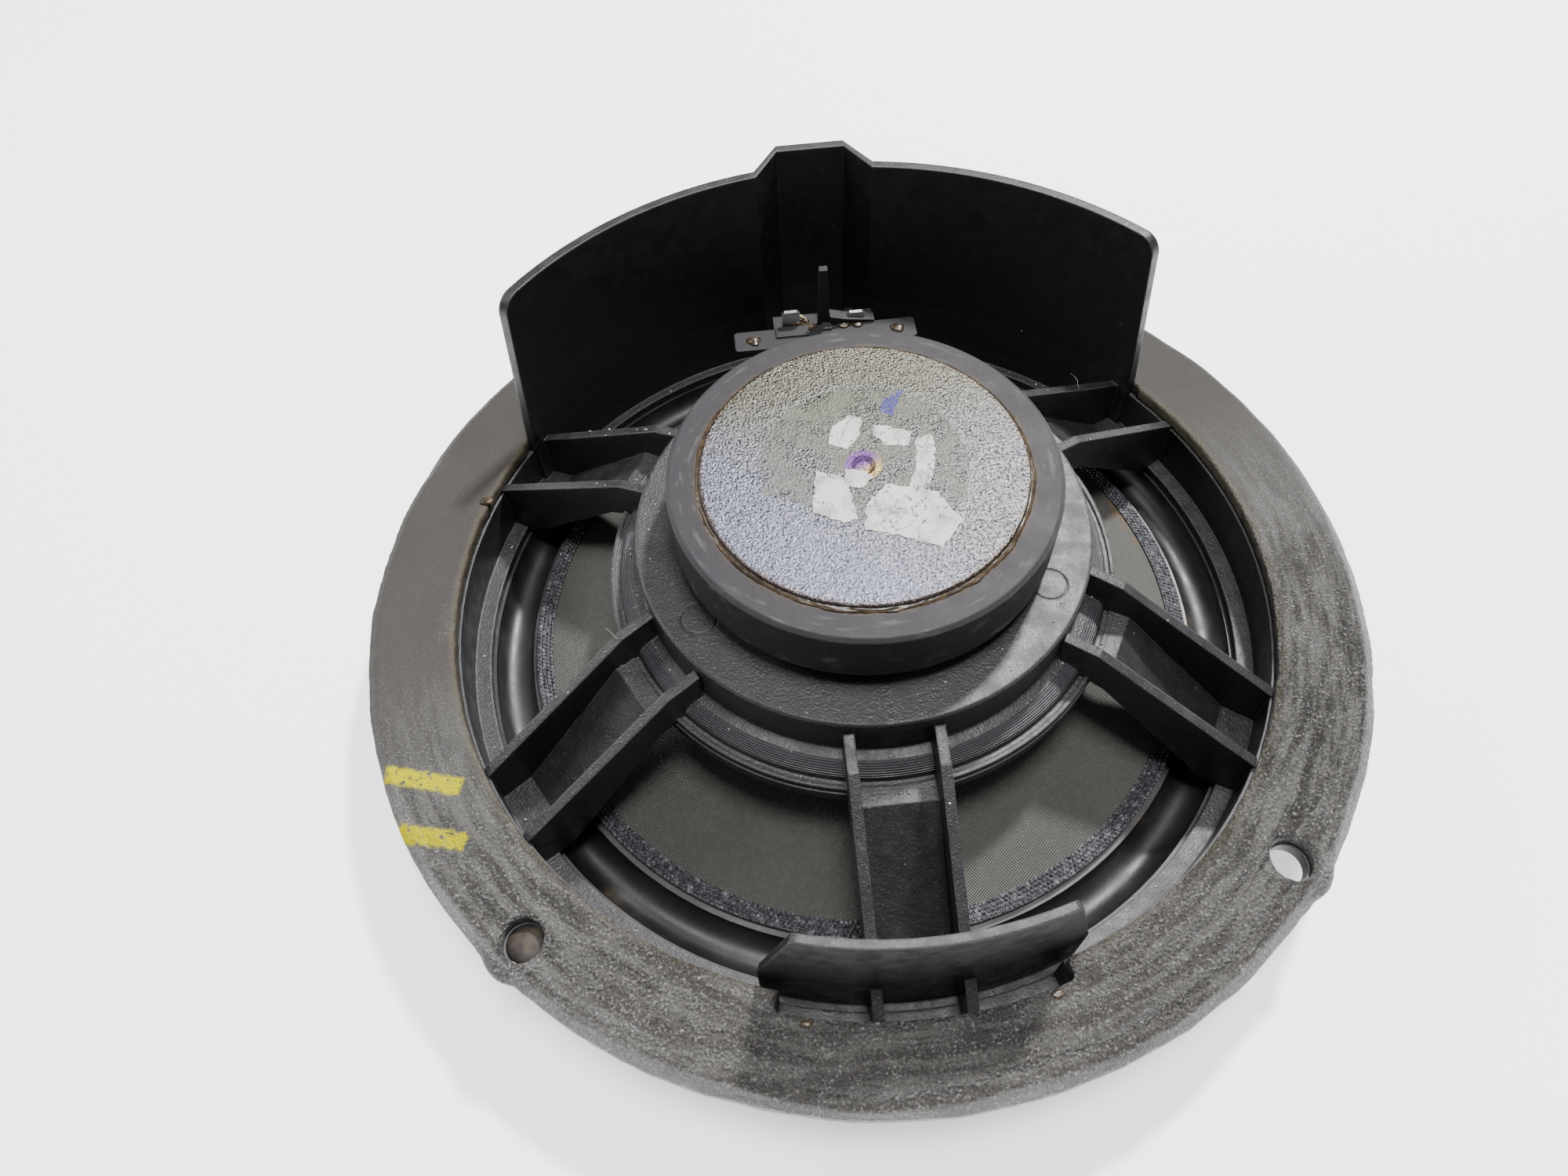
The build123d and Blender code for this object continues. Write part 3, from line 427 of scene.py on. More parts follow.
def black_rubber():
    s = Shader("black_rubber")
    haze = s.ramp(s.noise(70, 5, 0.6), 0.40, 0.75)
    colour = s.mix(haze, (0.006, 0.006, 0.007), (0.018, 0.018, 0.020))
    dots = specks(s, 420, 0.14, 0.06)
    colour = s.mix(s.math("MULTIPLY", dots, 0.6), colour, (0.25, 0.24, 0.22))
    stain = s.math("MULTIPLY", s.ramp(s.noise(48, 4, 0.6), 0.62, 0.72), 0.5)
    colour = s.mix(stain, colour, (0.060, 0.044, 0.022))
    normal = s.bump(s.noise(1600, 3), 0.00004, 0.6)
    rough = s.ramp(s.noise(180, 4), 0.3, 0.7, 0.38, 0.52)
    return s.finish(colour, rough, normal=normal)


def ferrite():
    """Ground ferrite: dark grey top, sides painted darker as shade, chips along its edge and small nicks."""
    s = Shader("ferrite")
    r = s.radius()
    _, _, z = s.xyz()
    mottled = s.noise(160, 6, 0.65)
    colour = s.mix(mottled, (0.022, 0.020, 0.023), (0.037, 0.035, 0.038))
    # painted shade: faces that turn away from up are painted darker than the top
    painted_flank_shade = s.ramp(s.upward(), 0.6, 0.2)
    colour = s.mix(painted_flank_shade, colour, (0.012, 0.011, 0.012))
    wear, soft = s.edges(0.0005, 0.03, 0.30)
    chips = s.math("MULTIPLY", wear, s.ramp(s.noise(700, 4), 0.60, 0.74))
    colour = s.mix(chips, colour, (0.24, 0.23, 0.22))
    around = s.join(s.math("MULTIPLY", r, 3.0), s.math("MULTIPLY", s.angle(), 0.02), z)
    lines = s.noise(300, 3, 0.5, place=around)
    colour = s.mix(s.math("MULTIPLY", s.ramp(lines, 0.55, 0.75), 0.25), colour, (0.15, 0.14, 0.15))
    ragged = s.math("ADD", r, s.math("MULTIPLY", s.math("SUBTRACT", s.noise(240, 5, 0.7), 0.5), 0.0035))
    stain = s.ramp(ragged, YOKE_R + 0.0018, YOKE_R - 0.0002)
    stain = s.math("MULTIPLY", stain, s.math("GREATER_THAN", z, MAGNET_TOP - 0.0003))
    colour = s.mix(s.math("MULTIPLY", stain, 0.75), colour, (0.070, 0.046, 0.026))
    dots = specks(s, 360, 0.12, 0.05)
    colour = s.mix(s.math("MULTIPLY", dots, 0.7), colour, (0.34, 0.32, 0.31))
    height = s.math("ADD", s.noise(900, 5, 0.6), s.math("MULTIPLY", s.noise(330, 4, 0.6), 1.2))
    normal = s.bump(height, 0.00007, 0.7, soft)
    return s.finish(colour, s.ramp(mottled, 0.3, 0.7, 0.50, 0.62), normal=normal, Specular_IOR_Level=0.16)


def zinc_disc():
    """Zinc-plated disc with orange peel, tarnish at its rim, painted shade on its far side, a painted bluish
    reflection towards the near left, a dull label patch, a pen mark and a tempered dimple.
    """
    s = Shader("zinc_disc")
    x, y, _ = s.xyz()
    r = s.radius()
    peel = s.noise(2100, 3, 0.55, distortion=0.2)
    peel_big = s.noise(620, 2, 0.5)
    height = s.math("ADD", peel, s.math("MULTIPLY", peel_big, 0.6))
    normal = s.bump(height, 0.00030, 0.85)
    tone = s.ramp(peel, 0.36, 0.66)
    silver = s.mix(tone, (0.045, 0.045, 0.052), (0.19, 0.19, 0.195))
    # painted shade: the far side of the disc is painted a darker, duller olive
    drift = s.math("MULTIPLY", s.noise(60, 3), 0.012)
    painted_far_shade = s.ramp(s.math("ADD", y, drift), 0.004, 0.026)
    colour = s.mix(s.math("MULTIPLY", painted_far_shade, 0.75), silver, (0.075, 0.071, 0.052))
    # painted reflection: a cool bluish tint painted towards the near left
    painted_cool_reflection = s.ramp(s.math("ADD", s.math("MULTIPLY", x, -0.8), s.math("MULTIPLY", y, -0.8)), 0.002, 0.026)
    colour = s.mix(s.math("MULTIPLY", painted_cool_reflection, 0.55), colour, (0.115, 0.118, 0.175))
    wavy = s.math("ADD", r, s.math("MULTIPLY", s.noise(300, 4), 0.0016))
    rim = s.ramp(wavy, YOKE_R - 0.0006, YOKE_R + 0.0012)
    colour = s.mix(s.math("MULTIPLY", rim, 0.7), colour, (0.10, 0.065, 0.035))
    # the dull patch ends on a circle and on one straight cut
    fuzz = s.math("MULTIPLY", s.math("SUBTRACT", s.noise(330, 4), 0.5), 0.0012)
    cut = s.math("ADD", s.math("MULTIPLY", x, LABEL_CUT[0]), s.math("MULTIPLY", y, LABEL_CUT[1]))
    patch = s.math("MULTIPLY", s.ramp(s.math("ADD", r, fuzz), LABEL_R + 0.0004, LABEL_R - 0.0004),
                   s.ramp(s.math("ADD", cut, fuzz), LABEL_CUT_AT + 0.0003, LABEL_CUT_AT - 0.0003))
    colour = s.mix(s.math("MULTIPLY", patch, 0.45), colour, (0.040, 0.042, 0.036))
    ring = s.ramp(s.math("ABSOLUTE", s.math("SUBTRACT", r, LABEL_R + 0.0005)), 0.0008, 0.0)
    colour = s.mix(s.math("MULTIPLY", ring, 0.35), colour, (0.11, 0.12, 0.13))
    tacky = s.math("MULTIPLY", patch, s.ramp(s.noise(190, 5, 0.6), 0.42, 0.60))
    colour = s.mix(s.math("MULTIPLY", tacky, 0.45), colour, (0.12, 0.12, 0.09))
    tint = s.mix(s.ramp(s.math("SUBTRACT", y, s.math("MULTIPLY", x, 0.5)), -0.0018, 0.0012),
                 (0.26, 0.19, 0.08), (0.10, 0.045, 0.15))
    colour = s.mix(s.ramp(r, 0.0036, 0.0028), colour, tint)
    pen = None
    for k in range(3):
        widen = 0.00042 * (3 - k)
        stroke = line_mask(s, PEN_MARK[k], PEN_MARK[k + 1], widen, 0.0002)
        pen = stroke if pen is None else s.math("MAXIMUM", pen, stroke)
    pen = s.math("MULTIPLY", pen, s.ramp(peel, 0.34, 0.46))
    colour = s.mix(s.math("MULTIPLY", pen, 0.95), colour, (0.006, 0.003, 0.13))
    metal = s.math("SUBTRACT", 1.0, s.math("MAXIMUM", s.math("MULTIPLY", tacky, 0.5), pen), clamp=True)
    rough = s.blend(tacky, s.ramp(peel, 0.35, 0.65, 0.24, 0.36), 0.48)
    return s.finish(colour, rough, metal=metal, normal=normal)


def label_paper():
    """What is left of a torn label: thin translucent paper with the peel showing through."""
    s = Shader("label_paper")
    fibres = s.noise(2200, 4, 0.7)
    peel = s.noise(1500, 3, 0.55, distortion=0.3)
    colour = s.mix(fibres, (0.34, 0.35, 0.335), (0.54, 0.55, 0.53))
    thin = s.ramp(s.noise(260, 5, 0.65), 0.42, 0.66)
    colour = s.mix(s.math("MULTIPLY", thin, 0.55), colour, (0.17, 0.175, 0.15))
    torn = s.ramp(s.math("ABSOLUTE", s.math("SUBTRACT", s.noise(230, 4, 0.6), 0.5)), 0.014, 0.004)
    colour = s.mix(torn, colour, (0.07, 0.07, 0.065))
    return s.finish(colour, 0.50, normal=s.bump(peel, 0.00028, 0.8))


def resin(name, dark, light, rough=0.30):
    """Set glue or hot melt."""
    s = Shader(name)
    tone = s.ramp(s.noise(420, 4, 0.6), 0.35, 0.68)
    colour = s.mix(tone, dark, light)
    return s.finish(colour, rough, normal=s.bump(s.noise(700, 4), 0.00012, 0.7))


def dust_grit():
    s = Shader("dust_grit")
    tone = s.noise(900, 2)
    colour = s.mix(s.ramp(tone, 0.38, 0.62), (0.10, 0.068, 0.040), (0.44, 0.38, 0.30))
    return s.finish(colour, 0.85, normal=s.bump(s.noise(3500, 2), 0.0001, 0.8))


def plated_steel(name, tint=(0.50, 0.49, 0.46), rough=0.34):
    s = Shader(name)
    grime = s.ramp(s.noise(180, 5, 0.65), 0.45, 0.75)
    colour = s.mix(grime, tint, tuple(c * 0.45 for c in tint))
    normal = s.bump(s.noise(1300, 4), 0.00006, 0.7)
    return s.finish(colour, s.blend(grime, rough, rough + 0.25), metal=0.95, normal=normal)


def grey_plastic():
    """Dark grey moulding of the terminal block, grimy in the middle and cleaner at its ears."""
    s = Shader("terminal_grey")
    x, _, _ = s.xyz()
    wear, soft = s.edges(0.0004, 0.03, 0.30)
    tone = s.noise(240, 4)
    clean = s.ramp(s.math("ABSOLUTE", x), 0.0100, 0.0125)
    colour = s.mix(tone, (0.013, 0.013, 0.015), (0.024, 0.024, 0.027))
    colour = s.mix(clean, colour, s.mix(tone, (0.014, 0.014, 0.016), (0.026, 0.026, 0.029)))
    colour = s.mix(s.math("MULTIPLY", wear, 0.6), colour, (0.10, 0.10, 0.105))
    stain = s.ramp(s.noise(210, 5, 0.7), 0.56, 0.68)
    colour = s.mix(s.math("MULTIPLY", stain, 0.4), colour, (0.050, 0.034, 0.020))
    normal = s.bump(s.noise(1500, 3), 0.00005, 0.6, soft)
    return s.finish(colour, 0.52, normal=normal, Specular_IOR_Level=0.22)


def spider_cloth():
    s = Shader("spider_cloth")
    x, y, _ = s.xyz()
    turn = 2 * math.pi / 0.0009
    u = s.math("SINE", s.math("MULTIPLY", x, turn))
    v = s.math("SINE", s.math("MULTIPLY", y, turn))
    mesh_height = s.math("MULTIPLY", u, v)
    colour = s.mix(s.ramp(mesh_height, -0.6, 0.6), (0.045, 0.034, 0.012), (0.16, 0.125, 0.05))
    colour = s.mix(s.ramp(s.noise(90, 4), 0.5, 0.8), colour, (0.05, 0.045, 0.03))
    return s.finish(colour, 0.65, normal=s.bump(mesh_height, 0.00015, 0.8))


def copper_turns():
    s = Shader("copper_turns")
    _, _, z = s.xyz()
    turns = s.math("SINE", s.math("MULTIPLY", z, 2 * math.pi / 0.00028))
    colour = s.mix(s.ramp(turns, -0.8, 0.9), (0.18, 0.055, 0.02), (0.62, 0.26, 0.10))
    return s.finish(colour, 0.28, metal=0.9, normal=s.bump(turns, 0.00012, 0.9))


def foil(name, tint):
    s = Shader(name)
    brushed = s.noise(260, 4, 0.6, place=s.join(s.angle(), 0.0, s.math("MULTIPLY", s.xyz()[2], 40.0)))
    colour = s.mix(brushed, tuple(c * 0.75 for c in tint), tint)
    return s.finish(colour, s.ramp(brushed, 0.3, 0.7, 0.25, 0.42), metal=0.95)


def braid():
    s = Shader("tinsel_braid")
    _, y, z = s.xyz()
    a = s.math("SINE", s.math("MULTIPLY", s.math("ADD", y, z), 2 * math.pi / 0.0009))
    b = s.math("SINE", s.math("MULTIPLY", s.math("SUBTRACT", y, z), 2 * math.pi / 0.0009))
    height = s.math("MAXIMUM", a, b)
    colour = s.mix(s.ramp(height, -0.2, 0.9), (0.12, 0.07, 0.03), (0.62, 0.50, 0.34))
    return s.finish(colour, 0.42, metal=0.7, normal=s.bump(height, 0.00015, 0.9))


# ---- names of places used by the materials ----------------------------------------------------
WALL_SEAM_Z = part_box("rain_shield")[0].z
GASKET_INNER = 0.0811
CREASE_R = 0.0945
HOLE_CIRCLE = 0.0925
HOLE_R = 0.0037
BAND_TOP = band_high.z
BAND_INNER = 0.0648
ROLL_OUTER = 0.0777
FORMER_R = former_high.x
CHALK_STROKES = (
    ((-0.0905, -0.0330), (-0.0790, -0.0365)),
    ((-0.0885, -0.0440), (-0.0775, -0.0470)),
)
LABEL_R = 0.0183
LABEL_CUT = (-0.457, -0.889)
LABEL_CUT_AT = 0.0120
PEN_MARK = ((0.0060, 0.0124), (0.0066, 0.0136), (0.0074, 0.0147), (0.0088, 0.0161))

black = moulded_black("basket_black", rings=True)
# painted shade: a darker copy of the basket's black, used for the rain shield and locating tab walls
wall_black_painted_shade = moulded_black("wall_black_painted_shade", tint=(0.0060, 0.0056, 0.0062), dust=0.35, grain=0.45)
rim_black = moulded_black("rim_black", tint=(0.011, 0.011, 0.012), dust=0.25, grain=0.6)
gloss_black = moulded_black("landing_black", tint=(0.008, 0.008, 0.010), dust=0.2, grain=0.25)
foam = foam_skin()
weave = cone_weave()
cap_cloth = cone_weave("cap_weave", 0.00060, (0.020, 0.021, 0.019), (0.060, 0.061, 0.054))
knit = edge_knit()
paper = label_paper()
brown_glue = resin("brown_glue", (0.022, 0.014, 0.008), (0.070, 0.048, 0.027), 0.30)
old_foam = resin("old_foam", (0.006, 0.004, 0.003), (0.034, 0.023, 0.014), 0.7)
hot_melt = resin("hot_melt", (0.10, 0.085, 0.060), (0.34, 0.30, 0.23), 0.35)
grit = dust_grit()
rubber = black_rubber()
magnet_grey = ferrite()
zinc = zinc_disc()
steel = plated_steel("plate_zinc")
tinned = plated_steel("tinned", (0.78, 0.77, 0.72), 0.26)
brass = plated_steel("eyelet_brass", (0.72, 0.55, 0.28), 0.30)
grey = grey_plastic()
cloth = spider_cloth()
copper = copper_turns()
aluminium = foil("former_foil", (0.82, 0.82, 0.84))
lead_braid = braid()

# ---- CAD nodes that keep their shape ------------------------------------------------------------
for node, mat, slot in (
    ("basket", black, "basket_plastic"),
    ("rain_shield", wall_black_painted_shade, "basket_plastic"),
    ("locating_tab", wall_black_painted_shade, "basket_plastic"),
    ("clamp_ring", rim_black, "rim_plastic"),
    ("spider_ring", gloss_black, "spider_ring_plastic"),
    ("front_plate", steel, "plate_steel"),
    ("coil_former", aluminium, "former_aluminium"),
    ("coil_winding", copper, "copper_wire"),
    ("terminal_block", grey, "terminal_plastic"),
    ("terminal_blade_left", tinned, "tinned_brass"),
    ("terminal_blade_right", tinned, "tinned_brass"),
    ("lead_eyelet_left", brass, "eyelet_brass"),
    ("lead_eyelet_right", brass, "eyelet_brass"),
    ("dust_cap", cap_cloth, "cap_weave"),
    ("cone", weave, "cone_weave"),
    ("magnet", magnet_grey, "ferrite"),
    ("pole_yoke", zinc, "yoke_steel"),
):
    paint(nodes[node], mat)

# ---- pieces with a detailed mesh of their own -----------------------------------------------------
def set_weights(obj, weight):
    """Lets a piece flex between basket and cone; weight(point) is 1 where it moves with the cone."""
    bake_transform(obj, BASE, MOVING, (0, 0, 0), (0, 0, 1))
    values = obj.data.attributes["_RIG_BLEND"].data
    for vertex in obj.data.vertices:
        values[vertex.index].value = weight(vertex.co)


def ease(value, low, high):
    """0 below low, 1 above high and a smooth step between them."""
    t = min(1.0, max(0.0, (value - low) / (high - low)))
    return t * t * (3 - 2 * t)


def skin_of(node, name):
    """A copy of a CAD node's surface, in the frame's coordinates."""
    source = nodes[node]
    mesh = source.data.copy()
    mesh.transform(source.matrix_world)
    obj = bpy.data.objects.new(name, mesh)
    bpy.context.scene.collection.objects.link(obj)
    mesh.polygons.foreach_set("use_smooth", [True] * len(mesh.polygons))
    return obj


def remeshed(obj, size):
    """The same surface as an even grid of small faces, ready to be displaced."""
    grid = obj.modifiers.new("grid", "REMESH")
    grid.mode = "VOXEL"
    grid.voxel_size = size
    obj.data = bpy.data.meshes.new_from_object(obj.evaluated_get(bpy.context.evaluated_depsgraph_get()))
    obj.modifiers.clear()
    obj.data.polygons.foreach_set("use_smooth", [True] * len(obj.data.polygons))
    return obj


def fibrous(point, scale, seed=0.0):
    """Smooth noise from -1 to 1 at a point, with features of about 1 / scale."""
    return noise.noise(Vector(point) * scale + Vector((seed, seed * 1.7, seed * 0.6)))


# ---- gasket: rippled, ragged foam with creases, and lips round the screw holes
def foam_shift(point):
    """How far a point of the foam stands from its drawn place."""
    r = math.hypot(point.x, point.y)
    outward = Vector((point.x, point.y, 0)) / r
    deg = math.degrees(math.atan2(point.y, point.x))
    near = max(0.0, -outward.y)
    top = ease(point.z, GASKET_TOP - 0.0012, GASKET_TOP - 0.0003)
    rise = 0.00010 * fibrous(point, 120) + 0.00004 * fibrous(point, 520, 3)
    rise += near * 0.00055 * fibrous((r, math.radians(deg) * 0.010, 0), 330, 5)
    crease = r + 0.0016 * fibrous(point, 45, 9)
    step = ease(crease, CREASE_R - 0.0004, CREASE_R + 0.0004)
    rise -= 0.00055 * near * step * (1 - ease(crease, CREASE_R + 0.0012, CREASE_R + 0.0026))
    for k in range(4):
        turn = math.radians(45 + 90 * k)
        away = math.hypot(point.x - HOLE_CIRCLE * math.cos(turn), point.y - HOLE_CIRCLE * math.sin(turn))
        lip = math.exp(-(((away - HOLE_R - 0.0010) / 0.0008) ** 2))
        rise += 0.00045 * lip * (0.6 + 0.6 * fibrous(point, 300, 11))
        rise -= 0.00030 * math.exp(-(((away - HOLE_R - 0.0032) / 0.0014) ** 2))
    outer = ease(r, GASKET_R - 0.0045, GASKET_R - 0.0012)
    ragged = outer * (0.00030 * fibrous(outward, 11, 13) + 0.00012 * fibrous(point, 300, 17))
    inner = 1 - ease(r, GASKET_INNER + 0.0004, GASKET_INNER + 0.0020)
    ragged += inner * 0.00018 * (fibrous(point, 380, 19) + 0.6)
    return outward * ragged + Vector((0, 0, rise * top))


FOAM_GRID = 0.00055
gasket = remeshed(skin_of("rear_gasket", "gasket_foam_ring"), FOAM_GRID)
for vertex in gasket.data.vertices:
    vertex.co += foam_shift(vertex.co)
paint(gasket, foam)
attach(gasket, BASE)
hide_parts("rear_gasket")

# ---- surround, spider and tinsel leads, which flex as the cone moves
roll_skin = skin_of("surround", "surround_roll")
paint(roll_skin, rubber)
set_weights(roll_skin, lambda p: 1 - ease(math.hypot(p.x, p.y), CONE_R, ROLL_OUTER))
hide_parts("surround")

CUFF_W = 0.0030
LANDING_W = 0.0090
waves = skin_of("spider", "spider_waves")
paint(waves, cloth)
set_weights(waves, lambda p: 1 - ease(math.hypot(p.x, p.y), FORMER_R + CUFF_W, spider_high.x - LANDING_W))
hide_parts("spider")

LEAD_END = 0.0015
for side in ("left", "right"):
    lead = skin_of("tinsel_lead_" + side, "tinsel_braid_" + side)
    paint(lead, lead_braid)
    lead_low, lead_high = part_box("tinsel_lead_" + side)
    set_weights(lead, lambda p: 1 - ease(p.y, lead_low.y + LEAD_END, lead_high.y - LEAD_END))
    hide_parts("tinsel_lead_" + side)

# ---- knitted band at the cone's edge: rows of raised loops
LOOP_ROWS = 4
LOOPS = 470
LOOP_H = 0.00048
LOOP_SINK = 0.00018
STEPS_ALONG = 8
STEPS_ACROSS = 28


def loop_height(across, turns):
    """How high the band's loops stand at a place, from 0 to 1."""
    row = across * LOOP_ROWS
    shift = 0.5 * (int(row) % 2)
    bead = abs(math.sin(math.pi * row)) * abs(math.sin(math.pi * (turns + shift)))
    return bead * (0.72 + 0.5 * noise.noise(Vector((across * 9, turns * 0.7, 4.0))))


band_width = band_high.x - BAND_INNER
band_profile = [(BAND_INNER, band_low.z)]
band_profile += [(BAND_INNER + band_width * k / STEPS_ACROSS, BAND_TOP) for k in range(STEPS_ACROSS + 1)]
band_profile += [(band_high.x, band_low.z)]


def knit_warp(r, z, angle, k):
    """Raises the top of the band into rows of loops."""
    across = (r - BAND_INNER) / band_width
    if z < BAND_TOP or not 0.02 < across < 0.98:
        return r, z
    return r, z + LOOP_H * loop_height(across, angle * LOOPS / (2 * math.pi)) - LOOP_SINK


band = lathe("edge_band_knit", band_profile, LOOPS * STEPS_ALONG, warp=knit_warp)
paint(band, knit)
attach(band, MOVING)
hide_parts("edge_band")


# ---- added scraps, glue and grit ------------------------------------------------------------
def scrap(name, outline, mat, seed, thick):
    """A thin torn piece lying on the disc; outline lists its corners in millimetres."""
    corners = [Vector((x * MM, y * MM, 0)) for x, y in outline]
    rim = []
    for start, end in zip(corners, corners[1:] + corners[:1]):
        side = end - start
        out = Vector((side.y, -side.x, 0)).normalized()
        for k in range(TEAR_STEPS):
            here = start + side * k / TEAR_STEPS
            tear = TEAR_WIDE * fibrous(here, 900, seed) + TEAR_FINE * fibrous(here, 2600, seed)
            rim.append(here + out * tear)
    top = [(p.x, p.y, YOKE_TOP + thick) for p in rim]
    foot = [(p.x, p.y, YOKE_TOP - thick) for p in rim]
    count = len(rim)
    faces = [tuple(range(count)), tuple(reversed(range(count, 2 * count)))]
    faces += [(i, count + i, count + (i + 1) % count, (i + 1) % count) for i in range(count)]
    obj = add_mesh(name, top + foot, faces, smooth=False)
    paint(obj, mat)
    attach(obj, BASE)
    return obj


TEAR_STEPS = 14
TEAR_WIDE = 0.00038
TEAR_FINE = 0.00020
LABEL_T = 0.00006
LABEL_SCRAPS = (
    [(-4.3, 9.5), (-0.9, 11.6), (1.0, 10.5), (0.0, 6.5), (-2.2, 3.9), (-5.5, 5.1)],
    [(2.9, 9.2), (9.6, 6.5), (8.5, 3.4), (4.7, 3.9), (2.6, 6.6)],
    [(10.1, 4.8), (12.8, 5.7), (13.2, 3.6), (11.4, -4.2), (7.5, -9.8), (4.2, -15.3), (3.0, -13.7),
     (8.7, -2.2)],
    [(-0.8, -8.8), (3.4, -4.7), (11.5, -7.2), (14.8, -13.7), (10.6, -18.9), (4.1, -15.7), (-1.5, -13.9)],
    [(-8.5, -0.1), (-3.6, -2.3), (-2.4, -11.6), (-4.8, -12.0), (-9.8, -9.2)],
    [(-3.4, -0.7), (-0.4, -1.1), (1.3, -2.7), (-0.9, -5.0), (-3.7, -4.6)],
)
for number, outline in enumerate(LABEL_SCRAPS):
    thick = LABEL_T * (1 + 0.3 * number)
    scrap("label_scrap_%d" % (number + 1), outline, paper, number * 2.3, thick)


def glue_warp(r, z, angle, k):
    """The bead swells and thins as it goes round."""
    swell = fibrous((math.cos(angle), math.sin(angle), 0.2 * k), 9, 21)
    fine = fibrous((math.cos(angle), math.sin(angle), 0.5 * k), 60, 23)
    grow = max(0.0, (r - YOKE_R) / 0.0012)
    return r + grow * (0.0005 * swell + 0.0002 * fine), z + 0.00012 * (swell + fine) * (z > MAGNET_TOP)


glue_profile = rounded([
    (YOKE_R - 0.0002, MAGNET_TOP - 0.0001), (YOKE_R + 0.0009, MAGNET_TOP - 0.0001),
    (YOKE_R + 0.0004, MAGNET_TOP + 0.0003), (YOKE_R - 0.0002, MAGNET_TOP + 0.0005),
], 0.0003, 2)
bead = lathe("disc_glue_bead", glue_profile, 480, warp=glue_warp)
paint(bead, brown_glue)
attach(bead, BASE)


def blob(place, size, seed, rings=8, lumps=0.30):
    """Points and faces of a lumpy droplet at a place; size is its half extents."""
    verts = [Vector(place) + Vector((0, 0, -size[2]))]
    around = rings * 2
    for i in range(1, rings):
        tilt = math.pi * i / rings
        for j in range(around):
            turn = 2 * math.pi * j / around
            level = math.sin(tilt)
            unit = Vector((level * math.cos(turn), level * math.sin(turn), -math.cos(tilt)))
            unit *= 1 + lumps * noise.noise(unit * 1.6 + Vector((seed, seed * 0.37, 0)))
            verts.append(Vector(place) + Vector((unit.x * size[0], unit.y * size[1], unit.z * size[2])))
    verts.append(Vector(place) + Vector((0, 0, size[2])))
    last = len(verts) - 1
    faces = []
    for j in range(around):
        k = (j + 1) % around
        faces.append((0, 1 + k, 1 + j))
        faces.append((last, last - around + j, last - around + k))
        for i in range(rings - 2):
            a, b = 1 + i * around, 1 + (i + 1) * around
            faces.append((a + j, a + k, b + k, b + j))
    return verts, faces


def cluster(name, pieces, mat, body=BASE):
    """One object made of many small separate lumps."""
    verts = []
    faces = []
    for part_verts, part_faces in pieces:
        faces += [tuple(i + len(verts) for i in face) for face in part_faces]
        verts += part_verts
    obj = add_mesh(name, verts, faces)
    paint(obj, mat)
    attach(obj, body)
    return obj


basket_skin = skin_of("basket", "basket_probe")
basket_tree = BVHTree.FromPolygons([v.co for v in basket_skin.data.vertices],
                                   [tuple(p.vertices) for p in basket_skin.data.polygons])
bpy.data.objects.remove(basket_skin)


def landing_at(x, y):
    """The point of the basket seen from above at x, y, if it is nearly level there."""
    hit, normal, _, _ = basket_tree.ray_cast(Vector((x, y, 0.08)), Vector((0, 0, -1)))
    if hit is None or normal.z < 0.85:
        return None
    return hit


def scatter(count, low_r, high_r, size, seed):
    """Small lumps lying on the basket between two radii."""
    dice = random.Random(seed)
    lumps = []
    while len(lumps) < count:
        r = dice.uniform(low_r, high_r)
        turn = dice.uniform(0, 2 * math.pi)
        hit = landing_at(r * math.cos(turn), r * math.sin(turn))
        if hit is None:
            continue
        half = size * dice.uniform(0.4, 1.0)
        shape = (half, half * dice.uniform(0.5, 1.0), half * dice.uniform(0.4, 0.8))
        lumps.append(blob(hit + Vector((0, 0, shape[2] * 0.6)), shape, dice.uniform(0, 50), 4, 0.9))
    return lumps


cluster("grit_on_hub", scatter(70, MAGNET_R + 0.0008, 0.0418, 0.00022, 3), grit)
cluster("grit_on_landing", scatter(60, 0.0432, 0.0486, 0.00030, 5), grit)
cluster("grit_on_spokes", scatter(90, 0.0495, 0.0800, 0.00034, 7), grit)


def tube(path, radius, sides=6):
    """Points and faces of a thin closed tube along a path."""
    verts = []
    for i, point in enumerate(path):
        along = (path[min(i + 1, len(path) - 1)] - path[max(i - 1, 0)]).normalized()
        across = along.cross(Vector((0.3, 0.2, 1.0))).normalized()
        over = along.cross(across)
        for j in range(sides):
            turn = 2 * math.pi * j / sides
            verts.append(point + (across * math.cos(turn) + over * math.sin(turn)) * radius)
    faces = [tuple(reversed(range(sides))), tuple(range(len(verts) - sides, len(verts)))]
    for i in range(len(path) - 1):
        for j in range(sides):
            k = (j + 1) % sides
            faces.append((i * sides + j, i * sides + k, (i + 1) * sides + k, (i + 1) * sides + j))
    return verts, faces


def fibre(centre, length, seed):
    """A curled hair lying on the basket."""
    dice = random.Random(seed)
    heading = dice.uniform(0, 2 * math.pi)
    curl = dice.uniform(-2.2, 2.2)
    point = Vector(centre) + Vector((0, 0, 0.00012))
    path = []
    for k in range(16):
        path.append(point.copy())
        heading += curl / 16 + 0.5 * noise.noise(Vector((k * 0.4, seed, 0)))
        point += Vector((math.cos(heading), math.sin(heading), 0)) * length / 15
        point.z += 0.00006 * math.sin(math.pi * k / 8)
    return tube(path, 0.00005)


def fibres(count, low_r, high_r, seed):
    """Curled hairs where the basket is level."""
    dice = random.Random(seed)
    found = []
    while len(found) < count:
        r = dice.uniform(low_r, high_r)
        turn = dice.uniform(0, 2 * math.pi)
        hit = landing_at(r * math.cos(turn), r * math.sin(turn))
        if hit is not None:
            found.append(fibre(hit, dice.uniform(0.002, 0.005), seed + len(found)))
    return found


cluster("hairs", fibres(9, 0.0436, 0.0780, 11), hot_melt)

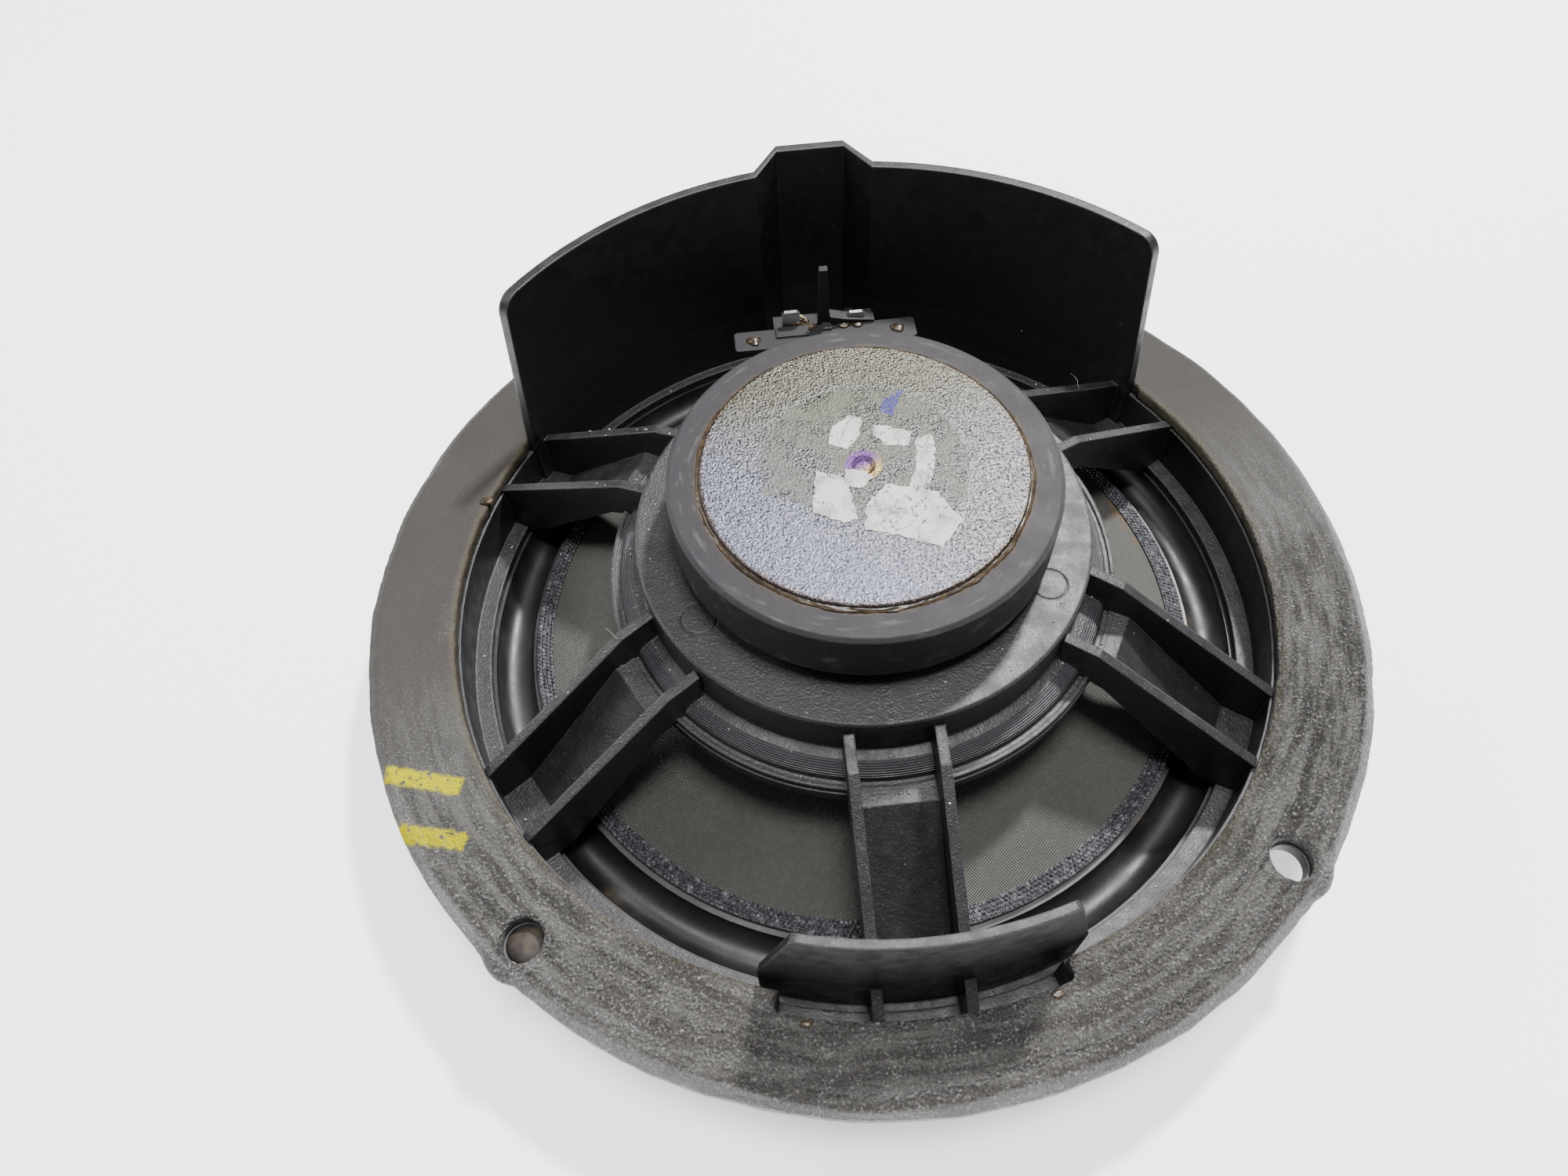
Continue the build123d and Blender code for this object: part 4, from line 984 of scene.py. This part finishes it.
# ---- glue: two tan spots at the shield's foot, drops at its right end, hot melt round the terminals
GLUE_SPOTS = (
    # x, y, half width, half depth, half height, in millimetres
    (-76.4, 28.6, 1.6, 1.0, 0.5),
    (-19.5, -83.4, 1.1, 0.6, 0.25),
    (21.0, -83.0, 1.0, 0.6, 0.25),
)
cluster("tan_glue_spots", [
    blob((x * MM, y * MM, GASKET_TOP), (a * MM, b * MM, c * MM), 3.1 * k, 10)
    for k, (x, y, a, b, c) in enumerate(GLUE_SPOTS)
], brown_glue)
PLATE_TOP = 0.0330
TERMINAL_GLUE = (
    # x, y, z, half width, half depth, half height, in millimetres
    (-5.6, 62.6, 33.2, 2.3, 1.3, 0.9),
    (-2.9, 61.4, 33.1, 1.3, 0.9, 0.6),
    (4.4, 61.2, 33.1, 1.5, 0.9, 0.5),
    (7.6, 60.7, 33.1, 1.2, 0.7, 0.4),
    (-16.2, 58.6, 33.0, 1.6, 1.3, 0.5),
    (16.2, 58.6, 33.0, 1.6, 1.3, 0.5),
)
cluster("terminal_glue", [
    blob((x * MM, y * MM, z * MM), (a * MM, b * MM, c * MM), 2.3 * k + 1, 9, 0.5)
    for k, (x, y, z, a, b, c) in enumerate(TERMINAL_GLUE)
], brown_glue)


WIRE_START = Vector((-0.0072, 0.0634, PLATE_TOP + 0.0009))
WIRE_END = Vector((-0.0038, 0.0626, PLATE_TOP + 0.0009))
WIRE_ARCH = 0.0013
WIND_R = 0.00026
STRAND_R = 0.00022


def twisted_end():
    """Two wire strands wound round each other, behind the left blade."""
    strands = []
    for strand in range(2):
        path = []
        for k in range(40):
            t = k / 39
            turn = 2 * math.pi * 4 * t + math.pi * strand
            centre = WIRE_START.lerp(WIRE_END, t)
            centre.z += WIRE_ARCH * math.sin(math.pi * t)
            path.append(centre + Vector((0, math.cos(turn), math.sin(turn))) * WIND_R)
        strands.append(tube(path, STRAND_R, 7))
    return strands


cluster("twisted_wire_end", twisted_end(), lead_braid)

# ---- plug of old foam left in the near left screw hole
plug_turn = math.radians(225)
cluster("hole_foam_plug", [
    blob((HOLE_CIRCLE * math.cos(plug_turn), HOLE_CIRCLE * math.sin(plug_turn), 0.0196),
         (HOLE_R - 0.00025, HOLE_R - 0.00025, 0.0010), 5.0, 16, 0.12)
], old_foam)

# ---- floor, light and camera -----------------------------------------------------------------------
floor_shader = Shader("pale_floor")
floor_tone = floor_shader.noise(3, 2)
pale = floor_shader.finish(floor_shader.mix(floor_tone, (0.92, 0.92, 0.92), (0.94, 0.94, 0.94)), 0.8,
                            Emission_Color=(1.0, 1.0, 1.0), Emission_Strength=0.9)
floor = add_mesh("floor", [(-3, -3, 0), (3, -3, 0), (3, 3, 0), (-3, 3, 0)], [(0, 1, 2, 3)], smooth=False)
floor.data.materials.append(pale)


def softbox(name, place, target, size, power):
    light = bpy.data.lights.new(name, "AREA")
    light.shape = "RECTANGLE"
    light.size, light.size_y = size
    light.energy = power
    obj = bpy.data.objects.new(name, light)
    obj.location = place
    obj.rotation_euler = (Vector(target) - Vector(place)).to_track_quat("-Z", "Y").to_euler()
    bpy.context.scene.collection.objects.link(obj)


softbox("key_softbox", (0.38, 0.55, 0.95), (0, 0, 0.03), (0.09, 0.09), 27)
softbox("overhead_softbox", (0.05, -0.05, 1.25), (0, 0, 0.03), (0.35, 0.35), 19)
softbox("left_softbox", (-0.9, 0.35, 0.6), (0, 0, 0.03), (0.30, 0.30), 6)

world = bpy.data.worlds.new("studio")
world.use_nodes = True
world.node_tree.nodes["Background"].inputs[0].default_value = (1, 1, 1, 1)
world.node_tree.nodes["Background"].inputs[1].default_value = 0.30
bpy.context.scene.world = world

LENS_MM = 24.51
SENSOR_MM = 36
CAMERA_PLACE = Vector((-0.01976, -0.11750, 0.20272))
look_down = math.radians(57.02)
heading = math.radians(2.2)
roll = math.radians(-3.81)
forward = Vector((math.sin(heading) * math.cos(look_down), math.cos(heading) * math.cos(look_down),
                  -math.sin(look_down)))
level = Vector((math.cos(heading), -math.sin(heading), 0))
upright = level.cross(forward)
right = math.cos(roll) * level + math.sin(roll) * upright
up = -math.sin(roll) * level + math.cos(roll) * upright
camera_data = bpy.data.cameras.new("photo_camera")
camera_data.lens = LENS_MM
camera_data.sensor_width = SENSOR_MM
camera_data.clip_start = 0.01
camera = bpy.data.objects.new("photo_camera", camera_data)
turn = Matrix((right, up, -forward)).transposed().to_4x4()
camera.matrix_world = Matrix.Translation(CAMERA_PLACE) @ turn
bpy.context.scene.collection.objects.link(camera)
bpy.context.scene.camera = camera
